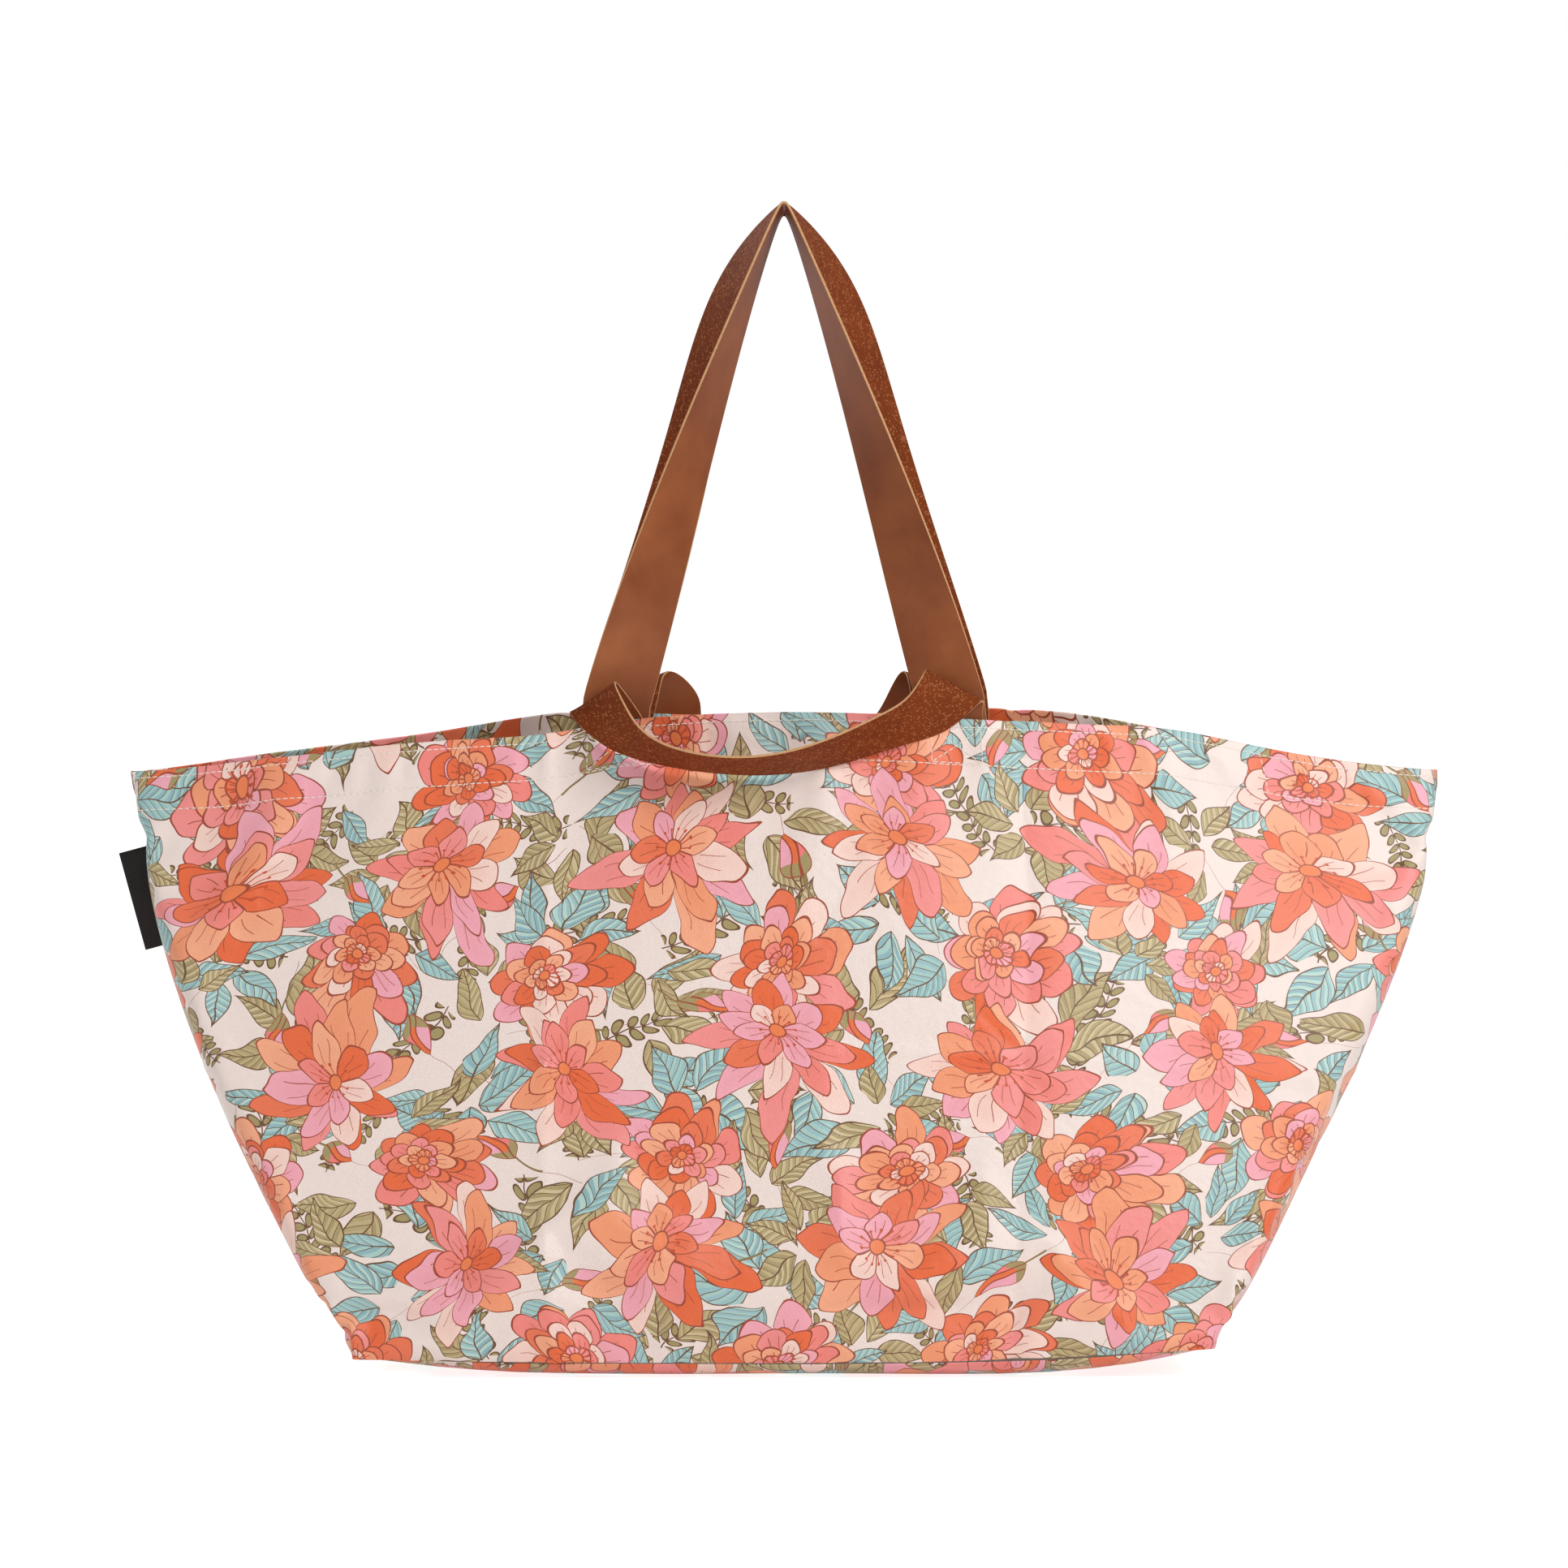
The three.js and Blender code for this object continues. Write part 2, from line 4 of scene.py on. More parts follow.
import bpy
import numpy as np
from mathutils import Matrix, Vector


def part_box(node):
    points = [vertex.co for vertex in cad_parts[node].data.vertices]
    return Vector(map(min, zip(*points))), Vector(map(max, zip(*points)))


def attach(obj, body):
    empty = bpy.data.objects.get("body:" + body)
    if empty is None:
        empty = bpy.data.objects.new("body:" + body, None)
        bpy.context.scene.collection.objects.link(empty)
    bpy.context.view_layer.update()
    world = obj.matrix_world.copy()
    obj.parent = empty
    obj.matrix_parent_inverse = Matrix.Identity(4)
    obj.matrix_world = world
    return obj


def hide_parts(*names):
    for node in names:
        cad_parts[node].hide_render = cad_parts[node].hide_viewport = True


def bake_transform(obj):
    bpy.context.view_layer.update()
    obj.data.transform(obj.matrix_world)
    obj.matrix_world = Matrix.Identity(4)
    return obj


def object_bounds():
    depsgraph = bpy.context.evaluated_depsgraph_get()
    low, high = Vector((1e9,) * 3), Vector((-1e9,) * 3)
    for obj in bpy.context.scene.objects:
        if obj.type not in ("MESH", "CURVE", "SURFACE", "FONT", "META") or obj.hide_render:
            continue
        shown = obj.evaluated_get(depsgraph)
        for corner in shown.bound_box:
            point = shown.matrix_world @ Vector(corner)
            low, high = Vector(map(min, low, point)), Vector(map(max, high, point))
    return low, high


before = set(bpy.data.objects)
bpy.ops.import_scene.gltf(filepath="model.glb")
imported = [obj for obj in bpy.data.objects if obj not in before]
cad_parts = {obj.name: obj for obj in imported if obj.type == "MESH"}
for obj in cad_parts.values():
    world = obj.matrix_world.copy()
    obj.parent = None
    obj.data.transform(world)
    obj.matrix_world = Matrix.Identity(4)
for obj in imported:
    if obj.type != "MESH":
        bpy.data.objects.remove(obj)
cad_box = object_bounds()
SCENE = bpy.context.scene

# ---- Sizes, in metres unless a comment says mm: some from the CAD's boxes, then its shape rules ----
MM = 0.001
base_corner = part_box("bottom_panel")[1]
wall_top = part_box("front_panel_middle")[1]
EDGE_GAP = 2.4 * MM  # the CAD keeps its base this far inside the bottom seam
BASE_X = base_corner.x + EDGE_GAP
BASE_Y = base_corner.y + EDGE_GAP
MOUTH_X = cad_box[1].x + 3.5 * MM
MOUTH_Y = 54 * MM
ARCH = 32 * MM
CORNER_Z = wall_top.z - ARCH - 4 * MM  # the cloth's corners sag a little below the CAD's
SEAM_Z = 9 * MM
SEAM_RISE = 5 * MM
BULGE = 18 * MM
BELLY = 6 * MM
GUSSET_BELLY = 4 * MM
HANDLE_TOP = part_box("front_long_handle")[1].z
STRAP_WIDE = 38 * MM
STRAP_THICK = 1.35 * MM
STRAP_X = 94 * MM
SEWN = 25 * MM
SHORT_DEPTH = 3.8 * MM
LONG_DEPTH = 5.8 * MM
CLOTH = 0.6 * MM
HEM = 27 * MM
HEM_ROWS = {"upper": 4.0, "lower": 25.0}  # each row of stitching, in mm below the mouth's edge
HEM_ROLL = 0.75 * MM  # the radius at which the hem turns in
FACING = 0.5 * MM
FABRIC_U = 370.0  # fabric from the middle of a wall to its side seam, in mm, as is the print
FABRIC_V = 370.0  # and from its bottom seam to the mouth's edge
FOLD_U = 128.0  # the upright packing folds
FOLD_V = 178.0  # and the level one
BACK_PRINT_U = 905.0  # where the back wall and the base are cut from the print
BASE_PRINT = (1700.0, 37.0)

COLUMNS = 37
ROWS = 36
FINER = 2  # times the grid is halved after the cloth settles
SIDES = {"left": -1, "right": 1}
FACES = {"front": -1, "back": 1}


def unit(vectors):
    return vectors / np.linalg.norm(vectors, axis=-1, keepdims=True)


# The distance along a path at each of its points.
def run_lengths(points):
    return np.concatenate([[0], np.cumsum(np.linalg.norm(np.diff(points, axis=0), axis=1))])


# The weights that smooth a row of values, reaching some places each way.
def window(reach, width):
    weights = np.exp(-0.5 * (np.arange(-reach, reach + 1) / width) ** 2)
    return weights / weights.sum()


def add_to_scene(name, data):
    made = bpy.data.objects.new(name, data)
    SCENE.collection.objects.link(made)
    return made


def add_object(name, points, faces, materials=(), slots=None, uvs=None, normals=None):
    mesh = bpy.data.meshes.new(name)
    mesh.from_pydata(np.asarray(points, float).tolist(), [], [list(map(int, f)) for f in faces])
    for material in materials:
        mesh.materials.append(material)
    if slots is not None:
        mesh.polygons.foreach_set("material_index", np.asarray(slots, np.int32))
    mesh.polygons.foreach_set("use_smooth", np.ones(len(faces), bool))
    if uvs is not None:
        layer = mesh.uv_layers.new(name="fabric_mm")
        corner = np.zeros(len(mesh.loops), np.int32)
        mesh.loops.foreach_get("vertex_index", corner)
        layer.data.foreach_set("uv", np.asarray(uvs, np.float32)[corner].ravel())
    mesh.update()
    if normals is not None:
        mesh.normals_split_custom_set_from_vertices(np.asarray(normals, float).tolist())
    return add_to_scene(name, mesh)


def mouth_height(x):
    across = np.minimum(np.abs(x), MOUTH_X) / MOUTH_X
    return CORNER_Z + ARCH * np.cos(np.pi / 2 * across) ** 1.6


def seam_height(x):
    return SEAM_Z + SEAM_RISE * (x / BASE_X) ** 2


# The bottom seam runs a little higher to the right than to the left.
def base_tilt(x):
    return 3 * MM * np.sign(x) * (x / BASE_X) ** 2


# How far each wall's mouth edge is lifted or let down, as (x, lift) in mm: the straps hold the walls up and
# the cloth sags beside them.
RIM_LIFTS = {
    "front": [(-370, -3), (-295, 0), (-218, 0), (-130, -5), (-96, 0), (0, 1), (96, 1), (170, 5),
              (212, 9), (240, 7), (290, 2), (370, -2)],
    "back": [(-370, -3), (-295, 1.5), (-200, 1), (-130, 4), (-96, 0), (0, -8), (90, 1), (112, 5),
             (162, 8), (203, 6), (240, 4), (304, 0), (370, -2)],
}


def rim_lift(face, x):
    at, lifts = np.array(RIM_LIFTS[face], float).T
    even = np.linspace(-400, 400, 401)
    reach = 18
    padded = np.pad(np.interp(even, at, lifts), reach, mode="edge")
    return MM * np.interp(x / MM, even, np.convolve(padded, window(reach, 6.0), mode="valid"))


def half_width(s):
    return BASE_X + (MOUTH_X - BASE_X) * s + BULGE * np.sin(np.pi * s**1.25)


# A wall's outer surface, y positive: u from 0 in its middle to 1 at the crease, s from 0 at the bottom seam
# to 1 at the mouth.
def wall_surface(u, s):
    mouth = MOUTH_Y * (1 - u**2)
    lean = s**1.3
    y = BASE_Y * (1 - lean) + mouth * lean + BELLY * np.sin(np.pi * s) * (1 - u**2)
    low = seam_height(u * BASE_X)
    z = low + (mouth_height(u * MOUTH_X) - low) * s
    return np.stack([u * half_width(s), y, z + 0 * u], -1)


def drop_point(x, drop):
    s = 1 - drop / (mouth_height(x) - SEAM_Z)
    return wall_surface(np.array(x / half_width(s)), s)


# The outline of a quarter of the bag at one share of its height, from the wall's middle to the side seam.
def quarter_outline(s):
    wall = wall_surface(np.linspace(0, 1, 300), s)
    crease = wall[-1]
    a = np.linspace(0, 1, 100)[1:]
    out = GUSSET_BELLY * math.sin(math.pi * s) * (1 - (1 - a) ** 2)
    gusset = np.stack([crease[0] + out, crease[1] * (1 - a), crease[2] + 0 * a], -1)
    points = evenly(np.vstack([wall, gusset]), 371)
    rounding = 2.5 + 9 * math.sin(math.pi * min(s * 1.1, 1)) ** 0.8
    return evenly(rounded(points, rounding), COLUMNS + 1)


def evenly(points, count):
    at = run_lengths(points)
    wanted = np.linspace(0, at[-1], count)
    return np.stack([np.interp(wanted, at, points[:, k]) for k in range(3)], -1)


# Rounds a quarter's crease, with the mirrored quarters beyond both of its ends.
def rounded(points, width):
    reach = int(3 * width) + 1
    before = points[1 : reach + 1][::-1] * [-1, 1, 1]
    after = points[-reach - 1 : -1][::-1] * [1, -1, 1]
    line = np.vstack([before, points, after])
    smooth = [np.convolve(line[:, k], window(reach, width), mode="valid") for k in range(3)]
    return np.stack(smooth, -1)


# ---- The cloth: a target shape, settled by a short simulation, then refined ----


# Both walls, each from its left side seam to its right one: [face][column, row] -> point.
def target_shape():
    rows = [quarter_outline(j / ROWS) for j in range(ROWS + 1)]
    right = np.stack(rows, 1)
    whole = np.concatenate([right[:0:-1] * [-1, 1, 1], right])
    share = np.arange(ROWS + 1) / ROWS
    slim_left = 0.013 * np.sqrt(share) * (1 - share**10)
    slim_right = 0.018 * np.sin(np.pi * np.minimum(share * 1.25, 1)) + 0.004 * np.sin(np.pi * share)
    whole[..., 0] *= 1 - np.where(whole[..., 0] > 0, slim_right, slim_left)
    whole[..., 2] += base_tilt(whole[..., 0]) * (1 - share) ** 3
    made = {face: whole * [1, sign, 1] for face, sign in FACES.items()}
    for face, grid in made.items():
        grid[..., 2] += rim_lift(face, grid[..., 0]) * share**2.5
    return made


SETTLING = {
    "quality": 7,
    "mass": 0.25,
    "tension_stiffness": 60,
    "compression_stiffness": 60,
    "shear_stiffness": 25,
    "bending_stiffness": 1.6,
    "tension_damping": 12,
    "compression_damping": 12,
    "shear_damping": 12,
    "vertex_group_mass": "pins",
    "shrink_min": -0.012,
}
SETTLING_GRAVITY = 0.15
SETTLING_STEPS = 40
SETTLING_CAP = 7 * MM


# Both walls as one closed ring, nudged by smooth random waves and settled as cloth, with its first and last
# rows pinned.
def settle(shape):
    ring = np.concatenate([shape["front"][:-1], shape["back"][:0:-1]])
    count = len(ring)
    rows = ROWS + 1
    seed = random.Random(11)
    waves = [(seed.uniform(2, 9), seed.uniform(-3, 3), seed.uniform(0, 6.3)) for _ in range(14)]
    u = np.arange(count)[:, None] / count
    v = np.arange(rows)[None, :] / ROWS
    nudge = sum(np.sin(2 * np.pi * (round(a) * u + b * v) + c) for a, b, c in waves) / len(waves)
    start = ring + unit(ring * [1, 1, 0]) * (nudge * np.sin(np.pi * v))[..., None] * 2.5 * MM
    index = np.arange(count * rows).reshape(count, rows)
    after = np.roll(index, -1, 0)
    quads = np.stack([index[:, :-1], after[:, :-1], after[:, 1:], index[:, 1:]], -1).reshape(-1, 4)
    cloth = add_object("cloth_ring", start.reshape(-1, 3), quads)
    pins = cloth.vertex_groups.new(name="pins")
    pins.add(index[:, [0, rows - 1]].ravel().tolist(), 1.0, "REPLACE")
    modifier = cloth.modifiers.new("settle", "CLOTH")
    for key, value in SETTLING.items():
        setattr(modifier.settings, key, value)
    modifier.settings.effector_weights.gravity = SETTLING_GRAVITY
    modifier.collision_settings.use_collision = False
    for step in range(1, SETTLING_STEPS + 1):
        SCENE.frame_set(step)
    done = cloth.evaluated_get(bpy.context.evaluated_depsgraph_get())
    settled = np.array([v.co for v in done.data.vertices]).reshape(count, rows, 3)
    SCENE.frame_set(1)
    bpy.data.objects.remove(cloth)
    moved = settled - ring
    length = np.linalg.norm(moved, axis=2, keepdims=True)
    capped = SETTLING_CAP * np.tanh(length / SETTLING_CAP)
    ring = ring + moved * (capped / np.maximum(length, 1e-9))
    half = 2 * COLUMNS
    closed = np.concatenate([ring, ring[:1]])
    return {"front": closed[: half + 1], "back": closed[half:][::-1]}


# Halves a grid's spacing along one axis, with points on a smooth curve through their neighbours.
def finer(grid, axis):
    g = np.moveaxis(grid, axis, 0)
    padded = np.concatenate([2 * g[:1] - g[1:2], g, 2 * g[-1:] - g[-2:-1]])
    middle = (9 * (padded[1:-2] + padded[2:-1]) - padded[:-3] - padded[3:]) / 16
    made = np.empty((2 * len(g) - 1, *g.shape[1:]))
    made[::2] = g
    made[1::2] = middle
    return np.moveaxis(made, 0, axis)


def grid_normals(grid, sign):
    n = np.cross(np.gradient(grid, axis=0), np.gradient(grid, axis=1))
    return -sign * n / np.maximum(np.linalg.norm(n, axis=2, keepdims=True), 1e-12)


# A place given from a crease's middle, as the way along the crease and the way beside it.
def from_crease(u, v, angle):
    c, s = math.cos(angle), math.sin(angle)
    return u * c + v * s, v * c - u * s


# Small shape that the coarse grid can't hold, as a height above the cloth in mm: packing folds with creases
# round their crossings, broad dents, random creases, the hem's pucker and rows, and the seams' grooves.
def fine_relief(u, v, seed):
    pick = random.Random(seed)
    relief = np.zeros(np.broadcast(u, v).shape)
    for fold, sign in ((-FOLD_U, 1), (FOLD_U, -1)):
        wander = 1.5 * np.sin(v / 47 + seed)
        relief += 2.8 * sign * np.exp(-np.abs(u - fold - wander) / 8)
        for angle in (0.5, 2.3, 3.8, 5.3):
            along, beside = from_crease(u - fold, v - FOLD_V, angle)
            relief += 1.4 * sign * np.exp(-np.abs(beside) / 3 - (along / 34) ** 2) * (along > 0)
    relief += 0.7 * np.exp(-np.abs(v - FOLD_V - 2 * np.sin(u / 60)) / 4)
    for _ in range(26):
        cu, cv, size = pick.uniform(-330, 330), pick.uniform(40, 310), pick.uniform(24, 60)
        relief += pick.uniform(-2.2, 2.2) * np.exp(-((u - cu) ** 2 + ((v - cv) * 0.6) ** 2) / size**2)
    for _ in range(90):
        cu, cv = pick.uniform(-360, 360), pick.uniform(25, 340)
        angle = pick.choice([0.0, 1.57, 0.8, -0.8]) + pick.gauss(0, 0.25)
        long, wide = pick.uniform(14, 48), pick.uniform(2.5, 6)
        high = pick.uniform(-0.95, 0.95)
        along, beside = from_crease(u - cu, v - cv, angle)
        relief += high * np.exp(-np.abs(beside) / wide) * np.exp(-((along / long) ** 2))
    hem_top = FABRIC_V - HEM / MM
    inside_hem = 1 / (1 + np.exp(-(v - hem_top) / 1.2))
    pucker = np.sin(u / 1.55 + 2 * np.sin(u / 23) + seed)
    pucker = pucker * np.sin(np.clip((v - hem_top) * MM / HEM, 0, 1) * np.pi)
    relief += inside_hem * (0.18 + 0.16 * pucker)
    for drop in HEM_ROWS.values():
        relief -= 0.22 * np.exp(-(((v - FABRIC_V + drop) / 1.3) ** 2))
    relief -= 0.5 * np.exp(-v / 1.6)
    relief -= 1.3 * np.exp(-(FABRIC_U - np.abs(u)) / 2.2)
    return relief


def walls():
    shape = target_shape()
    shape = settle(shape)
    made = {}
    for face, sign in FACES.items():
        grid = shape[face]
        for _ in range(FINER):
            grid = finer(finer(grid, 0), 1)
        u = np.linspace(-FABRIC_U, FABRIC_U, grid.shape[0])[:, None]
        v = np.linspace(0, FABRIC_V, grid.shape[1])[None, :]
        relief = fine_relief(u, v, 3 if sign < 0 else 8) * MM
        grid = grid + grid_normals(grid, sign) * relief[..., None]
        made[face] = {"points": grid, "normals": grid_normals(grid, sign)}
    return made


WALLS = walls()


# A point of a wall by its fabric place in mm, lifted off it along its normal.
def on_wall(face, u, v, lift):
    wall = WALLS[face]
    p, n = wall["points"], wall["normals"]
    i = np.clip((np.asarray(u, float) + FABRIC_U) / (2 * FABRIC_U), 0, 1) * (p.shape[0] - 1)
    j = np.clip(np.asarray(v, float) / FABRIC_V, 0, 1) * (p.shape[1] - 1)
    i0 = np.minimum(i.astype(int), p.shape[0] - 2)
    j0 = np.minimum(j.astype(int), p.shape[1] - 2)
    fi, fj = (i - i0)[..., None], (j - j0)[..., None]

    def sample(g):
        low = g[i0, j0] * (1 - fi) + g[i0 + 1, j0] * fi
        high = g[i0, j0 + 1] * (1 - fi) + g[i0 + 1, j0 + 1] * fi
        return low * (1 - fj) + high * fj

    return sample(p) + sample(n) * np.asarray(lift)[..., None]


# ---- Meshes ----


# A sheet of cloth from its outer and inner grids. Rims close it: "u0", "u1", "v0", "v1" name its edges.
def sheet(name, outer, inner, uv, outside, inside, flip, normals=None, rims="u0 u1 v0 v1"):
    nu, nv = outer.shape[:2]
    index = np.arange(nu * nv).reshape(nu, nv)
    quad = np.stack([index[:-1, :-1], index[1:, :-1], index[1:, 1:], index[:-1, 1:]], -1).reshape(-1, 4)
    back = quad[:, ::-1] + nu * nv
    if flip:
        quad, back = quad[:, ::-1], back[:, ::-1]
    faces = [quad, back]
    edges = {
        "u0": (index[0], False),
        "u1": (index[-1], True),
        "v0": (index[:, 0], True),
        "v1": (index[:, -1], False),
    }
    for rim in rims.split():
        edge, turned = edges[rim]
        strip = np.stack([edge[:-1], edge[1:], edge[1:] + nu * nv, edge[:-1] + nu * nv], -1)
        faces.append(strip[:, ::-1] if turned != flip else strip)
    faces = np.concatenate(faces)
    slots = np.zeros(len(faces))
    slots[len(quad) : 2 * len(quad)] = 1
    points = np.concatenate([outer.reshape(-1, 3), inner.reshape(-1, 3)])
    uvs = np.tile(uv.reshape(-1, 2), (2, 1))
    if normals is not None:
        normals = np.concatenate([normals.reshape(-1, 3), -normals.reshape(-1, 3)])
    return add_object(name, points, faces, [outside, inside], slots, uvs, normals)


# A stitch from each a to its b: a little bar with narrowed ends, lying on the cloth below it.
def stitches(name, a, b, up):
    wide, high = THREAD * MM, THREAD_HIGH * MM
    along = unit(b - a)
    side = unit(np.cross(along, up))
    points = []
    for centre, share in ((a, 0.4), (a + along * wide, 1.0), (b - along * wide, 1.0), (b, 0.4)):
        for across, lift in ((-1, 0), (-0.6, 1), (0.6, 1), (1, 0)):
            points.append(centre + side * (across * share * wide / 2) + up * (lift * share * high))
    points = np.stack(points, 1).reshape(-1, 3)
    one = [[4 * r + k, 4 * r + k + 1, 4 * r + k + 5, 4 * r + k + 4] for r in range(3) for k in range(3)]
    one += [[3, 2, 1, 0], [12, 13, 14, 15]]
    one += [[4 * r, 4 * r + 4, 4 * r + 7, 4 * r + 3] for r in range(3)]
    faces = (np.array(one)[None] + (np.arange(len(a)) * 16)[:, None, None]).reshape(-1, 4)
    return add_object(name, points, faces, [THREAD_LOOK])


# The faces of a tube of rings, a strip at a time round it, then of its caps.
def tube(rings, around, caps="start end"):
    index = np.arange(rings * around).reshape(rings, around)
    faces = []
    for k in range(around):
        beside = (k + 1) % around
        faces += np.stack([index[:-1, k], index[:-1, beside], index[1:, beside], index[1:, k]], -1).tolist()
    ends = {"start": index[0][::-1], "end": index[-1]}
    return faces + [ends[end] for end in caps.split()]


# ---- Pieces ----


def stand_for(piece, body, node):
    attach(piece, body)
    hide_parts(node)


# A quarter's piece is fixed in place in the world. It stands for the CAD's wing, and the right-hand one for
# the middle too.
def bend_with_wall(piece, face, side, node):
    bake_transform(piece)
    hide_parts(f"{face}_{node}_{side}")
    if side == "right":
        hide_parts(f"{face}_{node}_middle")


def quarter(grid, side):
    middle = grid.shape[0] // 2
    return grid[: middle + 1] if side == "left" else grid[middle:]


def across_quarter(side, count, margin=0.0):
    ends = (margin - FABRIC_U, 0) if side == "left" else (0, FABRIC_U - margin)
    return np.linspace(*ends, count)


def fabric_uv(face, side, count, v):
    u, v = np.meshgrid(across_quarter(side, count), v, indexing="ij")
    return np.stack([u if face == "front" else BACK_PRINT_U - u, v], -1)


def cloth_quarter(face, side):
    wall = WALLS[face]
    outer, normals = quarter(wall["points"], side), quarter(wall["normals"], side)
    inner = outer - normals * CLOTH
    uv = fabric_uv(face, side, outer.shape[0], np.linspace(0, FABRIC_V, outer.shape[1]))
    rims = "v0 v1 " + ("u0" if side == "left" else "u1")
    flip = FACES[face] > 0
    piece = sheet(f"{face}_cloth_{side}", outer, inner, uv, PRINT, LINING, flip, normals, rims)
    bend_with_wall(piece, face, side, "panel")
    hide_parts(f"{side}_gusset_{face}_half")


# The hem's turned-in layer: it rolls over the mouth's edge and hangs inside, down to the lower stitching.
def hem_facing(face, side):
    points = quarter(WALLS[face]["points"], side)
    normal = quarter(WALLS[face]["normals"], side)[:, -1]
    up = unit(points[:, -1] - points[:, -2])
    centre = points[:, -1] - normal * HEM_ROLL
    outer, inner, place = [], [], []
    for angle in np.linspace(0, math.pi, 7):
        way = normal * math.cos(angle) + up * math.sin(angle)
        outer.append(centre + way * HEM_ROLL)
        inner.append(centre + way * (HEM_ROLL - FACING))
        place.append(FABRIC_V + angle * HEM_ROLL / MM)
    u = across_quarter(side, len(points))
    for drop in np.linspace(2, HEM / MM, 11):
        outer.append(on_wall(face, u, FABRIC_V - drop, -2 * HEM_ROLL))
        inner.append(on_wall(face, u, FABRIC_V - drop, FACING - 2 * HEM_ROLL))
        place.append(FABRIC_V + 2.4 + drop)
    outer, inner = np.stack(outer, 1), np.stack(inner, 1)
    uv = fabric_uv(face, side, len(points), place)
    piece = sheet(f"{face}_hem_facing_{side}", outer, inner, uv, PRINT, LINING, FACES[face] > 0)
    bend_with_wall(piece, face, side, "hem_facing")


# A tape sewn over a wall's bottom seam, inside it.
def inner_tape(face, side):
    low, high = 5, 15
    u, v = np.meshgrid(across_quarter(side, 121, 20), np.linspace(low, high, 5), indexing="ij")
    arch = 0.9 * np.sin(np.pi * (v - low) / (high - low))
    near = on_wall(face, u, v, -(CLOTH + 0.2 * MM + arch * MM))
    far = on_wall(face, u, v, -(CLOTH + 0.1 * MM))
    uv = np.stack([u, v], -1)
    node = "bottom_seam_binding"
    piece = sheet(f"{face}_{node}_{side}", near, far, uv, TAPE, TAPE, FACES[face] < 0)
    bend_with_wall(piece, face, side, node)


def side_tape(side):
    v = np.linspace(24, 344, 90)
    seam = on_wall("front", SIDES[side] * FABRIC_U, v, 0)
    seam[:, 1] = 0
    depths = np.linspace(0.6, 10, 6) * MM
    wave = 0.5 * MM * np.sin(v / 13)[:, None] * (depths / depths[-1])[None]
    layers = []
    for thick in (0.45 * MM, -0.45 * MM):
        p = seam[:, None] - np.array([SIDES[side], 0, 0]) * depths[None, :, None]
        layers.append(p + np.array([0, 1.0, 0]) * (wave + thick)[..., None])
    uv = np.stack(np.meshgrid(v, depths / MM, indexing="ij"), -1)
    node = f"{side}_side_seam_binding"
    stand_for(sheet(node, *layers, uv, TAPE, TAPE, side == "right"), "base", node)


# The base: flat on the floor, its rim curving up to the bottom seam.
def bottom():
    def lines(half, rim, flat):
        inside = half - rim
        edge = inside + rim * (1 - (1 - np.linspace(0, 1, 9)[1:]) ** 2)
        middle = np.linspace(-inside, inside, flat)
        return np.concatenate([-edge[::-1], middle, edge])

    rim_x, rim_y = 120 * MM, 24 * MM
    across = lines(BASE_X - 0.9 * MM, rim_x, 56)
    x, y = np.meshgrid(across, lines(BASE_Y - 0.8 * MM, rim_y, 28), indexing="ij")
    in_x = np.clip((np.abs(x) - (BASE_X - rim_x)) / rim_x, 0, 1)
    in_y = np.clip((np.abs(y) - (BASE_Y - rim_y)) / rim_y, 0, 1)
    flat = (1 - in_x**1.8) * np.sqrt(1 - 0.999 * in_y**2)
    top = seam_height(x) + base_tilt(x) + 0.6 * MM
    sag = 0.5 * MM * (1 + np.sin(x * 41 + 1) * np.sin(y * 53))
    z = 0.6 * MM + sag * flat + top * (1 - flat)
    outer = np.stack([x, y, z], -1)
    uv = np.stack([x / MM + BASE_PRINT[0], y / MM + BASE_PRINT[1]], -1)
    piece = sheet("bottom_cloth", outer, outer + [0, 0, CLOTH], uv, PRINT, LINING, True)
    stand_for(piece, "base", "bottom_panel")


# ---- Stitching ----

# The thread's stitches, in mm
STITCH = 2.9
PITCH = 3.7
THREAD = 0.65
THREAD_HIGH = 0.42


# Stitches along straight rows of the fabric, each row from one (u, v) to another in mm.
def fabric_stitches(name, face, rows, lift=0.0):
    starts, ends = [], []
    for first, last in np.array(rows, float):
        length = np.linalg.norm(last - first)
        count = max(int(length / PITCH), 1)
        middles = first + (last - first) * ((np.arange(count) + 0.5) / count)[:, None]
        half = (last - first) * (STITCH / 2 / length)
        starts.append(middles - half)
        ends.append(middles + half)
    a, b = np.concatenate(starts).T, np.concatenate(ends).T
    level = lift * MM
    from_points = on_wall(face, *a, level)
    up = unit(on_wall(face, *a, level + MM) - from_points)
    return stitches(name, from_points, on_wall(face, *b, level), up if lift >= 0 else -up)


def hem_stitching(face, side):
    first, last = (-FABRIC_U + 3, -0.9) if side == "left" else (0.9, FABRIC_U - 3)
    for row, drop in HEM_ROWS.items():
        v = FABRIC_V - drop
        rows = [((first, v), (last, v))]
        if row == "lower" and side == "right":
            rows.append(((265, FABRIC_V - 2), (266, FABRIC_V - 26)))
        node = f"hem_{row}_stitching"
        bend_with_wall(fabric_stitches(f"{face}_{node}_{side}", face, rows), face, side, node)


